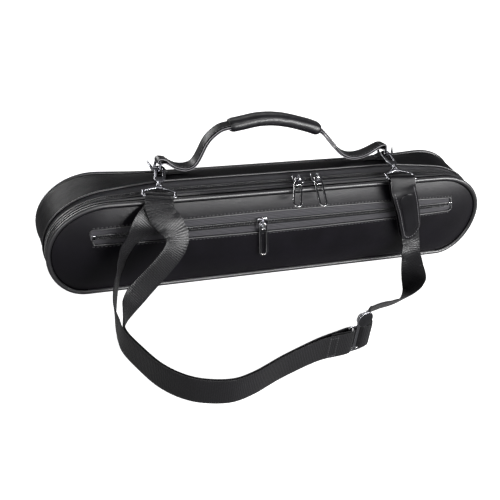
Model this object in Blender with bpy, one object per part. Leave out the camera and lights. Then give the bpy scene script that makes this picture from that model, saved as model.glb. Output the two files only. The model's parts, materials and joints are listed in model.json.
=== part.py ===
"""Soft flute bag: padded case with a zipped lid, a front pocket, a top handle and a clip-on shoulder strap.

Units are metres, +Z is up, +X runs along the length and -Y is the front, where the lid and its pocket are.
The origin is the middle of the flat underside.
"""
import math

import bmesh
import bpy
from mathutils import Vector

# Overall size of the bag, over the piping
LENGTH = 0.440
HEIGHT = 0.0946
DEPTH = 0.0564

# Outline of the ends, horizontal radii, and the height where the upper and lower curves meet
TOP_END_RADIUS = 0.0548
BOTTOM_END_RADIUS = 0.0373
WAIST_HEIGHT = 0.0461

# Walls and clearances
FIT = 0.0003
LEATHER = 0.0012
TAPE = 0.0007
FOAM = 0.0040
LINING = 0.0007
WALL_INSET = 0.0008
FRONT_PIPING_RADIUS = 0.00225
REAR_PIPING_RADIUS = 0.0019
CUT_OVERRUN = 0.010

# Crown of the two big panels and of the top wall
FRONT_BULGE = 0.0070
REAR_BULGE = 0.0050
BULGE_POWER = 2.5
TOP_CROWN = 0.0066
TOP_BACK_SAG = 0.0045
TOP_SHOULDER_POWER = 4
SEAM_BOW = 0.0045
TEETH_BOW_SHARE = 0.46
CROWN_FLAT_HALF = 0.100
CROWN_END = 0.205
CROWN_FOOT_HEIGHT = 0.050

# Main zipper, its depths measured back from the front piping's middle
PART_LINE = 0.0092
COIL_WIDTH = 0.0050
COIL_HEIGHT = 0.0016
FRONT_GUSSET_DEPTH = 0.0051
REAR_SEAM_DEPTH = 0.0183
TAPE_TUCK = 0.0030
FOAM_RIM_DEPTH = 0.0245

# Rows across the top wall that follow its crown, their depths behind the front piping's middle
CROWN_ROW_DEPTHS = (FRONT_GUSSET_DEPTH, PART_LINE - COIL_WIDTH / 2, PART_LINE + COIL_WIDTH / 2, 0.0150,
                    REAR_SEAM_DEPTH, REAR_SEAM_DEPTH + TAPE_TUCK, 0.0301, 0.0390, 0.0460, 0.0510)

# Pocket in the lid; its mouth ends this far from the ends of the bag
POCKET_END_GAP = 0.0375
POCKET_MIDDLE_HEIGHT = 0.0642
POCKET_MIDDLE_HALF = 0.0098
POCKET_END_HALF = 0.0066
POCKET_CORNER = 0.0030
POCKET_TUCK = 0.0040
POCKET_HALF_LENGTH = LENGTH / 2 - POCKET_END_GAP
POCKET_COIL_WIDTH = 0.0044
POCKET_POUCH = 0.0006
POUCH_EDGE_SHARE = 0.05
PAD_EDGE_SHARE = 0.01

# Sliders and pulls
SLIDER_LENGTH = 0.0110
SLIDER_WIDTH = 0.0094
SLIDER_PLATE = 0.0012
SLIDER_FLANGE = 0.0008
BAIL_HALF = 0.0022
BAIL_STRIP = 0.0008
BAIL_ROOM = 0.0030
BAIL_WIDTH = 0.0012
MAIN_SLIDER_PLACES = (0.0140, 0.0330)
POCKET_SLIDER_PLACE = -0.0240
PULL_LENGTH = 0.0360
PULL_WIDTH = 0.0085
PULL_THICKNESS = 0.0016
PULL_RIM = 0.0018
PULL_EYE = 0.0046
PULL_EYE_WIDTH = 0.0036
PULL_HOLE_CORNER = 0.0008
PULL_CHAMFER = 0.0024
PULL_HEAD_CUT = 0.0021
PULL_SLOT_START = 0.0022
PULL_LEANS = {"left": math.radians(12), "right": 0.0}
STOP_LENGTH = 0.0040

# Handle
HANDLE_Y = 0.0130
HANDLE_WIDTH = 0.0124
HANDLE_LAYER = 0.0016
HANDLE_MIDDLE = 0.0040
HANDLE_HALF_SPAN = 0.1120
HANDLE_RISE = 0.0448
HANDLE_AXIS_Z = 0.1012
HANDLE_JOIN = 0.0085
GRIP_HALF_WIDTH = 0.0076
GRIP_HALF_DEPTH = 0.0060
GRIP_ENDS = (-0.0500, 0.0420)
HANDLE_FOLD_FADE = 0.0090
FOLD_CLEAR_SHARE = 1.3
HANDLE_TILT_SHARE = 0.80
GRIP_END_SHARE = 0.93
TAB_LENGTH = 0.0240
TAB_RETURN = 0.0120
TAB_LEATHER = 0.0009
TAB_WIDTH = 0.0110
TAB_FADE = 0.0080
TOP_TILT = math.radians(12.5)

# Rings, hooks and the strap's leather end
RING_WIRE = 0.00125
RING_WIDTH = 0.0164
RING_HEIGHT = 0.0103
RING_CORNER = 0.0022
RING_BEYOND = {"left": 0.0060, "right": 0.0030}
RING_PLACES = {"left": HANDLE_MIDDLE - HANDLE_HALF_SPAN - RING_BEYOND["left"],
               "right": HANDLE_MIDDLE + HANDLE_HALF_SPAN + RING_BEYOND["right"]}
RING_LEANS = {"left": math.radians(15), "right": math.radians(10)}
HOOK_HEIGHT = 0.0030
HOOK_THICKNESS = 0.0022
HOOK_BOWL = 0.0024
HOOK_SECTION = 0.0026
HOOK_BACK = 0.0020
HOOK_LENGTH = 0.0250
HOOK_NOSE = math.radians(95)
GATE_LENGTH = 0.0126
GATE_WIDTH = 0.0020
GATE_PIVOT_AHEAD = 0.0015
GATE_HORN = (-0.0125, 0.0112)
GATE_HORN_TIP = 0.0006
EYE_WIRE = 0.0022
EYE_THICKNESS = 0.0020
EYE_SIDE = 0.0022
EYE_ROOM = 0.0009
EYE_SETS = {"left": (-0.0100, -0.0350, 0.1018), "right": (-0.0060, -0.0380, 0.1018)}
EYE_PLACES = {side: (RING_PLACES[side] + x, y, z) for side, (x, y, z) in EYE_SETS.items()}
HOOK_STEM_SHARES = ((0.0, 0.16), (0.0, 0.98), (0.30, 0.98), (0.53, 0.84), (0.72, 0.44), (1.0, 0.32),
                    (1.0, -0.32), (0.72, -0.44), (0.48, -0.84), (0.06, -1.0))
EYE_OUTLINE_SHARES = ((0.0, 0.18), (0.16, 0.19), (0.32, 0.50), (0.47, 0.86), (0.57, 1.0),
                      (0.93, 1.0), (1.0, 0.93))
EYE_HOLE_SHARES = ((0.36, 0.20), (0.52, 0.80), (0.60, 1.0))
METAL_BEVEL = 0.0005

# Strap
STRAP_WIDTH = 0.0240
STRAP_THICKNESS = 0.0014
STRAP_LAYER_GAP = 0.0006
END_TAB_WIDTH = 0.0250
END_TAB_LEATHER = 0.0016
END_TAB_ROUND = 0.0040
END_TAB_FADE = 0.0120
EYE_START = math.radians(50)
EYE_INNER_TURN = math.radians(60)
EYE_JOIN = math.radians(9)
GLIDE_LENGTH = 0.0210
GLIDE_HEIGHT = 0.0300
GLIDE_BAR = 0.0022
GLIDE_THICKNESS = 0.0020
GLIDE_CORNER = 0.0030
GLIDE_DISC_RADIUS = 0.0078
GLIDE_DISC_THICKNESS = 0.0018
GLIDE_CENTRE_BAR = 0.0028
GLIDE_PLACE = (0.0262, -0.1522, 0.0153)
GLIDE_TURN = math.radians(10)
GLIDE_LOBE = (0.0040, 0.0206)
GLIDE_LOBE_RADIUS = 0.0070
GLIDE_SLOT_ROOM = 0.0007
SINGLE_START = 0.0025
SINGLE_GAP = 0.0178
TAB_WEBBING_POINTS = 7
GLIDE_SLOT_CORNER = 0.0008
TAB_ROUND_SHARES = (0.62, 0.90)

# The strap's route: the two strands that hang from the left hook, the run along the ground, the single
# stretch behind the slider and the leather end, with the directions across the webbing. The strands
# and the leather end are measured along the bag from their eye. The ground run and the single stretch have
# depths and heights, with shares of the way along the bag from the slider to the strand or the leather end.
OUTER_STRAND = (
    ((0.0004, -0.0328, 0.0970), (-0.97, 0.24, 0.0)), ((0.0000, -0.0348, 0.0915), (-0.98, 0.20, 0.0)),
    ((-0.0045, -0.0368, 0.0840), (-0.98, 0.12, -0.08)), ((-0.0128, -0.0392, 0.0765), (-0.93, -0.15, -0.25)),
    ((-0.0210, -0.0418, 0.0680), (-0.86, -0.40, -0.25)), ((-0.0287, -0.0448, 0.0590), (-0.75, -0.62, -0.10)),
    ((-0.0336, -0.0490, 0.0500), (-0.55, -0.80, 0.0)), ((-0.0376, -0.0555, 0.0405), (-0.42, -0.90, 0.10)),
    ((-0.0420, -0.0640, 0.0300), (-0.30, -0.65, 0.50)), ((-0.0448, -0.0735, 0.0212), (-0.20, -0.35, 0.80)),
    ((-0.0462, -0.0840, 0.0150), (-0.10, -0.10, 0.98)), ((-0.0466, -0.0970, 0.0125), (0.0, 0.0, 1.0)))
INNER_STRAND = (
    ((-0.0006, -0.0378, 0.0970), (-0.97, 0.24, 0.0)), ((0.0000, -0.0399, 0.0915), (-0.98, 0.20, 0.0)),
    ((0.0034, -0.0418, 0.0845), (-0.98, 0.10, 0.10)), ((0.0095, -0.0435, 0.0770), (-0.96, 0.10, 0.15)),
    ((0.0140, -0.0476, 0.0695), (-0.93, 0.28, 0.05)), ((0.0135, -0.0525, 0.0625), (-0.86, 0.42, 0.05)),
    ((0.0090, -0.0567, 0.0560), (-0.76, 0.54, 0.25)), ((0.0025, -0.0602, 0.0500), (-0.70, 0.58, 0.38)),
    ((-0.0050, -0.0637, 0.0438), (-0.64, 0.62, 0.45)), ((-0.0132, -0.0668, 0.0372), (-0.58, 0.60, 0.54)),
    ((-0.0215, -0.0702, 0.0305), (-0.46, 0.52, 0.70)), ((-0.0295, -0.0745, 0.0240), (-0.30, 0.38, 0.85)),
    ((-0.0365, -0.0815, 0.0185), (-0.15, 0.20, 0.95)), ((-0.0410, -0.0910, 0.0145), (0.0, 0.0, 1.0)),
    ((-0.0432, -0.1015, 0.0125), (0.0, 0.0, 1.0)))
GROUND_RUN = ((-0.1120, 0.0125), (-0.1364, 0.0125), (-0.1593, 0.0125), (-0.1738, 0.0125),
              (-0.1827, 0.0125), (-0.1881, 0.0125), (-0.1843, 0.0125), (-0.1710, 0.0128))
GROUND_RUN_SHARES = (0.99339, 0.95274, 0.89787, 0.83435, 0.76372, 0.64482, 0.55081, 0.38974)
SINGLE_STRETCH = (
    ((-0.1430, 0.0148), (0.0, 0.0, 1.0)), ((-0.1320, 0.0138), (0.10, -0.20, 0.97)),
    ((-0.1215, 0.0124), (0.20, -0.35, 0.92)), ((-0.1145, 0.0120), (0.25, -0.45, 0.85)),
    ((-0.1115, 0.0118), (0.29, -0.53, 0.80)), ((-0.1090, 0.0118), (0.29, -0.53, 0.80)),
    ((-0.1045, 0.0115), (0.42, -0.45, 0.78)), ((-0.0970, 0.0105), (0.62, -0.30, 0.70)),
    ((-0.0870, 0.0105), (0.80, 0.0, 0.55)), ((-0.0740, 0.0125), (0.90, 0.25, 0.25)),
    ((-0.0600, 0.0165), (0.93, 0.35, 0.05)), ((-0.0490, 0.0225), (0.94, 0.34, 0.0)),
    ((-0.0438, 0.0300), (0.95, 0.30, 0.0)))
SINGLE_STRETCH_SHARES = (0.0, 0.02808, 0.08099, 0.21598, 0.36717, 0.51836, 0.64795, 0.75594,
                         0.84773, 0.91793, 0.97732, 1.01296, 1.01944)
END_TAB_LINE = (
    ((0.0236, -0.0428, 0.0360), (0.95, 0.30, 0.0)), ((0.0205, -0.0424, 0.0460), (0.95, 0.25, 0.0)),
    ((0.0155, -0.0428, 0.0590), (0.96, 0.20, 0.0)), ((0.0095, -0.0433, 0.0740), (0.97, 0.12, 0.0)),
    ((0.0035, -0.0430, 0.0870), (0.98, 0.0, 0.0)), ((0.0005, -0.0408, 0.0955), (0.99, -0.11, 0.0)))

# The weave through the strap slider, in shares of its length along and of a layer's step out from its middle
WEAVE_OUTER_SHARES = ((-1.95, 1.25), (-1.45, 1.30), (-1.0, 1.85), (-0.62, 2.22), (-0.48, 2.22),
                      (-0.362, 2.08), (-0.252, 1.20), (-0.176, 0.0), (-0.105, -0.84), (0.0, -1.08),
                      (0.105, -0.84), (0.176, 0.0), (0.257, 0.84), (0.362, 1.08), (0.50, 1.08), (0.575, 0.82))
WEAVE_INNER_SHARES = ((-1.95, -0.25), (-1.45, -0.70), (-1.0, -0.95), (-0.72, -1.20), (-0.57, -1.26))
WEAVE_RETURN_SHARES = ((-0.57, 1.26), (-0.72, 1.15), (-1.0, 0.58), (-1.35, 0.30))

# The handle's middle line, in shares of its half span and of its rise
HANDLE_SHARES = (
    (-0.991, 0.158), (-0.946, 0.092), (-0.902, 0.031), (-0.857, 0.004), (-0.8125, 0.0), (-0.768, 0.031),
    (-0.735, 0.107), (-0.703, 0.270), (-0.670, 0.491), (-0.639, 0.634), (-0.589, 0.768), (-0.536, 0.855),
    (-0.402, 0.917), (-0.3125, 0.960), (-0.232, 0.993), (-0.143, 1.0), (-0.054, 0.982), (0.036, 0.940),
    (0.129, 0.877), (0.223, 0.806), (0.304, 0.730), (0.357, 0.665), (0.433, 0.498), (0.518, 0.270),
    (0.592, 0.107), (0.663, 0.022), (0.741, 0.0), (0.8125, 0.031), (0.884, 0.098), (0.942, 0.165),
    (0.982, 0.180))

# Mesh fineness
TOP_STEPS = 12
CORNER_STEPS = 5
PIPE_SIDES = 8
DOME_SHARES = (0.0, 0.10, 0.24, 0.45, 0.86)
POCKET_STEPS = 14
DISC_SIDES = 24
FOLD_STEPS = 6
TAB_STEPS = 8
HOOK_STEPS = 12
GRIP_SIDES = 12
HANDLE_STEPS = 2
STRAP_STEPS = 2

# Leather, cloth and metal: base colour, roughness, metallic
LEATHER_LOOK = ("black_leather", (0.020, 0.019, 0.023), 0.42, 0.0)
FABRIC_LOOK = ("black_webbing", (0.035, 0.034, 0.037), 0.70, 0.0)
LINING_LOOK = ("dark_lining", (0.040, 0.040, 0.045), 0.85, 0.0)
FOAM_LOOK = ("grey_foam", (0.180, 0.180, 0.190), 0.90, 0.0)
METAL_LOOK = ("gunmetal", (0.230, 0.235, 0.250), 0.28, 1.0)


def clear_scene():
    for thing in list(bpy.data.objects):
        bpy.data.objects.remove(thing, do_unlink=True)


def material(look):
    name, colour, roughness, metallic = look
    made = bpy.data.materials.get(name)
    if made is None:
        made = bpy.data.materials.new(name)
        made.use_nodes = True
        shader = made.node_tree.nodes["Principled BSDF"]
        shader.inputs["Base Color"].default_value = (*colour, 1.0)
        shader.inputs["Roughness"].default_value = roughness
        shader.inputs["Metallic"].default_value = metallic
    return made


def add_object(name, bm, look, pivot=None, smooth_angle=math.radians(40)):
    """Turns a bmesh into an object whose origin is the pivot."""
    bmesh.ops.recalc_face_normals(bm, faces=bm.faces)
    if bm.calc_volume(signed=True) < 0:
        bmesh.ops.reverse_faces(bm, faces=bm.faces)
    if pivot is not None:
        bmesh.ops.translate(bm, verts=bm.verts, vec=-Vector(pivot))
    mesh = bpy.data.meshes.new(name)
    bm.to_mesh(mesh)
    bm.free()
    mesh.shade_smooth()
    mesh.set_sharp_from_angle(angle=smooth_angle)
    made = bpy.data.objects.new(name, mesh)
    if pivot is not None:
        made.location = pivot
    made.data.materials.append(material(look))
    bpy.context.collection.objects.link(made)
    return made


def as_guide(thing):
    thing.hide_render = True
    thing.display_type = 'WIRE'
    return thing


def combine(target, other, operation):
    as_guide(other)
    step = target.modifiers.new(operation.lower(), 'BOOLEAN')
    step.operation = operation
    step.solver = 'EXACT'
    step.object = other


def clamp(value, low, high):
    return max(low, min(high, value))


# Places on the bag

def front(depth):
    """The y of a plane that lies this far behind the front piping's middle."""
    return depth - DEPTH / 2


def crown_share(x):
    """1 along the middle of the bag, fading to 0 towards its ends."""
    share = clamp((abs(x) - CROWN_FLAT_HALF) / (CROWN_END - CROWN_FLAT_HALF), 0.0, 1.0)
    return (1 + math.cos(math.pi * share)) / 2


def hump(share):
    """0 at both ends and 1 at a third of the way."""
    return 729 / 16 * share ** 2 * (1 - share) ** 4


def shoulder(share):
    """Rises like hump to a third of the way, then stays full and falls late, towards the back."""
    past = max(0.0, (share - 1 / 3) * 3 / 2)
    return 1 - past ** TOP_SHOULDER_POWER if past > 0 else hump(share)


def bow_share(y):
    """How much of the seam's bow a place takes: level under the teeth, all of it at the rear seam."""
    teeth = SLIDER_WIDTH / 2 + FIT
    stations = ((front(FRONT_PIPING_RADIUS), 0.0), (front(PART_LINE - teeth), TEETH_BOW_SHARE),
                (front(PART_LINE + teeth), TEETH_BOW_SHARE), (front(REAR_SEAM_DEPTH), 1.0),
                (DEPTH / 2 - 2 * REAR_PIPING_RADIUS, 0.0))
    if y <= stations[0][0] or y >= stations[-1][0]:
        return 0.0
    for (low, first), (high, second) in zip(stations, stations[1:]):
        if y <= high:
            return first + (second - first) * (y - low) / (high - low)


def settled(x, y, z, at=None):
    """The top wall's crown, its sag at the back and the seam's bow, as the filled bag takes them.

    A face behind or before the top wall passes its edge's y as at, and moves with that edge.
    """
    across = DEPTH - FRONT_PIPING_RADIUS - 2 * REAR_PIPING_RADIUS
    share = clamp(((y if at is None else at) - front(FRONT_PIPING_RADIUS)) / across, 0.0, 1.0)
    rise = max(0.0, (z - CROWN_FOOT_HEIGHT) / (HEIGHT - CROWN_FOOT_HEIGHT)) * crown_share(x)
    lift = (shoulder(share) * TOP_CROWN - share * TOP_BACK_SAG) * rise
    bow = bow_share(y) * SEAM_BOW * rise if at is None else 0.0
    return Vector((x, y + bow, z + lift))


def top_z(x, y, inset=WALL_INSET):
    """Height of the top wall's outside at a place seen from above."""
    guess = y
    for _ in range(12):
        guess += y - settled(x, guess, HEIGHT - inset).y
    return settled(x, guess, HEIGHT - inset).z


def quarter(centre_x, radius_x, radius_z, start, stop):
    """Points of an elliptical corner about the waist."""
    for step in range(CORNER_STEPS + 1):
        angle = math.radians(start + (stop - start) * step / CORNER_STEPS)
        yield centre_x + radius_x * math.cos(angle), WAIST_HEIGHT + radius_z * math.sin(angle)


def outline(inset):
    """The bag's outline (x, z) drawn in by inset: up the right end, over the top, down the left end."""
    top_x = LENGTH / 2 - TOP_END_RADIUS
    bottom_x = LENGTH / 2 - BOTTOM_END_RADIUS
    top = (TOP_END_RADIUS - inset, HEIGHT - WAIST_HEIGHT - inset)
    bottom = (BOTTOM_END_RADIUS - inset, WAIST_HEIGHT - inset)
    points = list(quarter(bottom_x, *bottom, -90, 0))
    points += list(quarter(top_x, *top, 0, 90))[1:]
    for step in range(1, TOP_STEPS):
        points.append((top_x - 2 * top_x * step / TOP_STEPS, HEIGHT - inset))
    points += list(quarter(-top_x, *top, 90, 180))
    points += list(quarter(-bottom_x, *bottom, 180, 270))[1:]
    return points


def ring(inset, y, share=0.0, at=None):
    """A closed ring of points: the outline drawn in, then shrunk by share towards the panel's spine."""
    spine_x = LENGTH / 2 - TOP_END_RADIUS
    points = []
    for x, z in outline(inset):
        foot = clamp(x, -spine_x, spine_x)
        height = WAIST_HEIGHT + (z - WAIST_HEIGHT) * (1 - share)
        points.append(settled(foot + (x - foot) * (1 - share), y, height, at))
    return points


def outline_gauge(x, z, inset):
    """1 on the outline drawn in by inset, less inside it."""
    upper = z > WAIST_HEIGHT
    end = TOP_END_RADIUS if upper else BOTTOM_END_RADIUS
    reach = (HEIGHT - WAIST_HEIGHT if upper else WAIST_HEIGHT) - inset
    across = max(0.0, abs(x) - (LENGTH / 2 - end)) / (end - inset)
    return math.hypot(across, (z - WAIST_HEIGHT) / reach)


def panel_share(x, z, inset):
    """How far in from the panel's edge a place is: 0 on the edge, 1 on the spine."""
    spine_x = LENGTH / 2 - TOP_END_RADIUS
    foot = clamp(x, -spine_x, spine_x)
    low, high = 0.0, 1.0
    for _ in range(40):
        middle = (low + high) / 2
        scale = 1 / max(middle, FIT)
        grown = outline_gauge(foot + (x - foot) * scale, WAIST_HEIGHT + (z - WAIST_HEIGHT) * scale, inset)
        low, high = (middle, high) if grown > 1 else (low, middle)
    return 1 - high


def bulge(share):
    return 1 - (1 - share) ** BULGE_POWER


def faceted_bulge(share):
    """The crown as the panels' own rings give it, straight from ring to ring."""
    for low, high in zip(DOME_SHARES, DOME_SHARES[1:]):
        if share <= high:
            return bulge(low) + (bulge(high) - bulge(low)) * (share - low) / (high - low)
    return bulge(DOME_SHARES[-1])


# Solids

def shell(name, rings, look):
    """A closed skin over a row of rings, capped at the first and the last."""
    bm = bmesh.new()
    rows = [[bm.verts.new(point) for point in points] for points in rings]
    for low, high in zip(rows, rows[1:]):
        for i in range(len(low)):
            j = (i + 1) % len(low)
            nested_patch(bm, low[i], low[j], high[j], high[i])
    bm.faces.new(rows[0])
    bm.faces.new(rows[-1])
    return add_object(name, bm, look)


def patch(bm, a, b, c, d, straight):
    """Two triangles for a four-cornered patch, cut from a to c if straight, otherwise from b to d."""
    if straight:
        bm.faces.new((a, b, c))
        bm.faces.new((a, c, d))
    else:
        bm.faces.new((a, b, d))
        bm.faces.new((b, c, d))


def nested_patch(bm, a, b, c, d):
    """A patch between two rings, cut the same way on every skin of a nest."""
    patch(bm, a, b, c, d, a.co.y <= d.co.y)


def band(name, corners, look):
    """A wall with a section given by corners (inset, y), carried round the top and both ends."""
    bm = bmesh.new()
    rows = [[bm.verts.new(point) for point in ring(inset, y)] for inset, y in corners]
    count = len(rows)
    for i in range(len(rows[0]) - 1):
        for j in range(count):
            k = (j + 1) % count
            nested_patch(bm, rows[j][i], rows[j][i + 1], rows[k][i + 1], rows[k][i])
    bm.faces.new([row[0] for row in rows])
    bm.faces.new([row[-1] for row in rows])
    return add_object(name, bm, look)


def box_section(low_inset, high_inset, low_y, high_y):
    """A wall's section: out along one face and back along the other, with the crown's rows."""
    rows = [low_y, *rows_between(low_y, high_y), high_y]
    return [(low_inset, y) for y in rows] + [(high_inset, y) for y in reversed(rows)]


def rows_between(low_y, high_y):
    return [front(depth) for depth in CROWN_ROW_DEPTHS if low_y + 2 * FIT < front(depth) < high_y - 2 * FIT]


def tube(name, points, radius, look, closed=False, sides=PIPE_SIDES, pivot=None):
    """A round rod along points, with filled ends or closed on itself."""
    origin = Vector(pivot) if pivot is not None else Vector()
    curve = bpy.data.curves.new(name, 'CURVE')
    curve.dimensions = '3D'
    curve.bevel_depth = radius
    curve.bevel_resolution = (sides - 4) // 2
    curve.use_fill_caps = not closed
    spline = curve.splines.new('POLY')
    spline.points.add(len(points) - 1)
    for place, point in zip(spline.points, points):
        place.co = (*(Vector(point) - origin), 1.0)
    spline.use_cyclic_u = closed
    spline.use_smooth = True
    made = bpy.data.objects.new(name, curve)
    made.location = origin
    made.data.materials.append(material(look))
    bpy.context.collection.objects.link(made)
    return made


def smooth_route(points, steps):
    """A smooth curve through the route's own points, without loops where they lie close together."""
    points = [Vector(point) for point in points]
    ends = [2 * points[0] - points[1], *points, 2 * points[-1] - points[-2]]
    route = []
    for corners in zip(ends, ends[1:], ends[2:], ends[3:]):
        times = [0.0]
        for first, second in zip(corners, corners[1:]):
            times.append(times[-1] + math.sqrt((second - first).length))
        for step in range(steps):
            moment = times[1] + (times[2] - times[1]) * step / steps
            layer = corners
            for reach in (1, 2):
                layer = [low.lerp(high, (moment - start) / (stop - start))
                         for low, high, start, stop in zip(layer, layer[1:], times, times[reach:])]
            share = (moment - times[1]) / (times[2] - times[1])
            route.append(layer[0].lerp(layer[1], share))
    route.append(points[-1])
    return route


def blended_sides(sides, steps):
    """Width directions for a smooth route, blended straight from point to point."""
    sides = [Vector(side) for side in sides]
    blended = [low.lerp(high, step / steps) for low, high in zip(sides, sides[1:]) for step in range(steps)]
    return blended + [sides[-1]]


def ribbon(name, route, sides, width, thickness, look, pivot=None):
    """A flat strap along a route; sides gives its width direction at each point, width one size or a list."""
    bm = bmesh.new()
    rows = []
    last = len(route) - 1
    widths = width if isinstance(width, list) else [width] * len(route)
    for i, (point, side) in enumerate(zip(route, sides)):
        along = (route[min(i + 1, last)] - route[max(i - 1, 0)]).normalized()
        side = (side - along * side.dot(along)).normalized()
        face = along.cross(side)
        half = side * widths[i] / 2
        deep = face * thickness / 2
        corners = ((1, 1), (-1, 1), (-1, -1), (1, -1))
        rows.append([bm.verts.new(point + a * half + b * deep) for a, b in corners])
    for low, high in zip(rows, rows[1:]):
        for j in range(4):
            k = (j + 1) % 4
            patch(bm, low[j], low[k], high[k], high[j], j < 2)
    bm.faces.new(rows[0])
    bm.faces.new(rows[-1])
    return add_object(name, bm, look, pivot)


def flat_plate(name, outer, holes, thickness, place, look, pivot=None):
    """A plate cut from a flat outline with holes, set up by place(u, v, w) and centred on w."""
    bm = bmesh.new()
    edges = []
    for loop in (outer, *holes):
        verts = [bm.verts.new((u, v, -thickness / 2)) for u, v in loop]
        edges += [bm.edges.new((a, b)) for a, b in zip(verts, verts[1:] + verts[:1])]
    bmesh.ops.triangle_fill(bm, edges=edges, use_beauty=True)
    grown = bmesh.ops.extrude_face_region(bm, geom=bm.faces[:])
    raised = [item for item in grown["geom"] if isinstance(item, bmesh.types.BMVert)]
    bmesh.ops.translate(bm, verts=raised, vec=(0, 0, thickness))
    for vert in bm.verts:
        vert.co = place(*vert.co)
    return add_object(name, bm, look, pivot)


def rounded_box(half_u, half_v, radius, middle=(0.0, 0.0), steps=3):
    """A rectangle with round corners, as points (u, v)."""
    points = []
    for corner, (a, b) in enumerate(((1, 1), (-1, 1), (-1, -1), (1, -1))):
        for step in range(steps + 1):
            angle = math.pi / 2 * (corner + step / steps)
            points.append((middle[0] + a * (half_u - radius) + radius * math.cos(angle),
                           middle[1] + b * (half_v - radius) + radius * math.sin(angle)))
    return points


# The case: everything that stays when the lid opens

def make_walls():
    inner = WALL_INSET + LEATHER
    back = DEPTH / 2 - REAR_PIPING_RADIUS - FIT
    seam = front(REAR_SEAM_DEPTH)
    band("rear_gusset", box_section(WALL_INSET, inner, seam, back), LEATHER_LOOK)
    ring_points = ring(REAR_PIPING_RADIUS, DEPTH / 2)
    tube("rear_piping", ring_points, REAR_PIPING_RADIUS, LEATHER_LOOK, closed=True)

    half = LENGTH / 2 - BOTTOM_END_RADIUS - FIT
    low = front(FRONT_PIPING_RADIUS + FIT)
    bm = bmesh.new()
    bmesh.ops.create_cube(bm, size=1.0)
    for vert in bm.verts:
        x, y, z = vert.co
        vert.co = Vector((2 * half * x, (back - low) * (y + 0.5) + low, LEATHER * (z + 0.5)))
    add_object("bottom_gusset", bm, LEATHER_LOOK)


def domed(inset, y, height, first=0.0):
    """Rings of a crowned face from its middle out to its edge, or to the share called first."""
    shares = [first, *(share for share in DOME_SHARES if share > first)]
    edge = math.copysign(DEPTH / 2, y)
    return [ring(inset, y + height * bulge(share), share, edge) for share in reversed(shares)]


def make_back():
    edge = 2 * REAR_PIPING_RADIUS + 2 * FIT
    outside = domed(edge, DEPTH / 2, REAR_BULGE)
    inside = domed(edge, DEPTH / 2 - LEATHER, REAR_BULGE)
    shell("back_panel", outside + inside[::-1], LEATHER_LOOK)


def make_base_padding():
    wall = WALL_INSET + LEATHER + FIT
    rim = front(FOAM_RIM_DEPTH)
    back = DEPTH / 2 - LEATHER - FIT
    shoulder = DEPTH / 2 - REAR_PIPING_RADIUS - 2 * FIT
    floor = shoulder - FOAM
    inner = wall + FOAM
    rings = domed(wall + REAR_PIPING_RADIUS, back, REAR_BULGE)
    rings += [ring(wall, y) for y in (shoulder, *reversed(rows_between(rim, shoulder)), rim)]
    rings += [ring(inner, rim), ring(inner, floor)]
    rings.append(ring(inner, floor, DOME_SHARES[-1]))
    shell("base_padding", rings, FOAM_LOOK)

    skin = inner + FIT
    cover = rim - FIT
    face = floor - FIT
    rings = [ring(skin, face, DOME_SHARES[-1]), ring(skin, face), ring(skin, cover), ring(wall, cover)]
    rings += [ring(wall, cover - LINING), ring(skin + LINING, cover - LINING)]
    rings += [ring(skin + LINING, face - LINING), ring(skin + LINING, face - LINING, DOME_SHARES[-1])]
    shell("base_lining", rings, LINING_LOOK)


def make_main_zipper():
    part = front(PART_LINE)
    top = WALL_INSET + LEATHER + FIT
    coil = (top - FIT - COIL_HEIGHT, top - FIT)
    seam = front(REAR_SEAM_DEPTH)
    reach = COIL_WIDTH / 2
    band("zipper_tape_rear", box_section(top, top + TAPE, part + FIT / 2, seam + TAPE_TUCK), FABRIC_LOOK)
    band("zipper_coil_rear", box_section(*coil, part + FIT / 2, part + reach), FABRIC_LOOK)
    piping = front(FRONT_PIPING_RADIUS + FIT)
    band("zipper_tape_front", box_section(top, top + TAPE, piping, part - FIT / 2), FABRIC_LOOK)
    band("zipper_coil_front", box_section(*coil, part - reach, part - FIT / 2), FABRIC_LOOK)


# The lid: what swings forward when the main zipper is open

def make_lid():
    inner = WALL_INSET + LEATHER
    start = front(FRONT_PIPING_RADIUS + FIT)
    band("front_gusset", box_section(WALL_INSET, inner, start, front(FRONT_GUSSET_DEPTH)), LEATHER_LOOK)
    ring_points = ring(FRONT_PIPING_RADIUS, front(0.0))
    tube("front_piping", ring_points, FRONT_PIPING_RADIUS, LEATHER_LOOK, closed=True)

    edge = 2 * FRONT_PIPING_RADIUS + FIT
    outside = domed(edge, front(0.0), -FRONT_BULGE)
    inside = domed(edge, front(LEATHER), -FRONT_BULGE)
    panel = shell("front_panel", outside + inside[::-1], LEATHER_LOOK)
    deep = 2 * (FRONT_BULGE + CUT_OVERRUN)
    cutter = flat_plate("pocket_cutter", pocket_outline(), (), deep, on_front, LEATHER_LOOK)
    combine(panel, cutter, 'DIFFERENCE')

    pouch = LEATHER + TAPE + 4 * FIT
    foam = pouch + POCKET_POUCH + FIT
    cover = foam + FOAM + FIT
    for name, low, thickness, first, look in (
            ("pocket_lining", pouch, POCKET_POUCH, POUCH_EDGE_SHARE, LINING_LOOK),
            ("lid_padding", foam, FOAM, PAD_EDGE_SHARE, FOAM_LOOK),
            ("lid_lining", cover, LINING, PAD_EDGE_SHARE, LINING_LOOK)):
        outside = domed(edge, front(low), -FRONT_BULGE, first)
        inside = domed(edge, front(low + thickness), -FRONT_BULGE, first)
        shell(name, outside + inside[::-1], look)


def on_front(u, v, w):
    return Vector((u, front(0.0) + w, v))


def pocket_half(x):
    """Half the pocket mouth's height, widest in the middle."""
    share = clamp(abs(x) / POCKET_HALF_LENGTH, 0.0, 1.0)
    return POCKET_MIDDLE_HALF + (POCKET_END_HALF - POCKET_MIDDLE_HALF) * share ** 2


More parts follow.
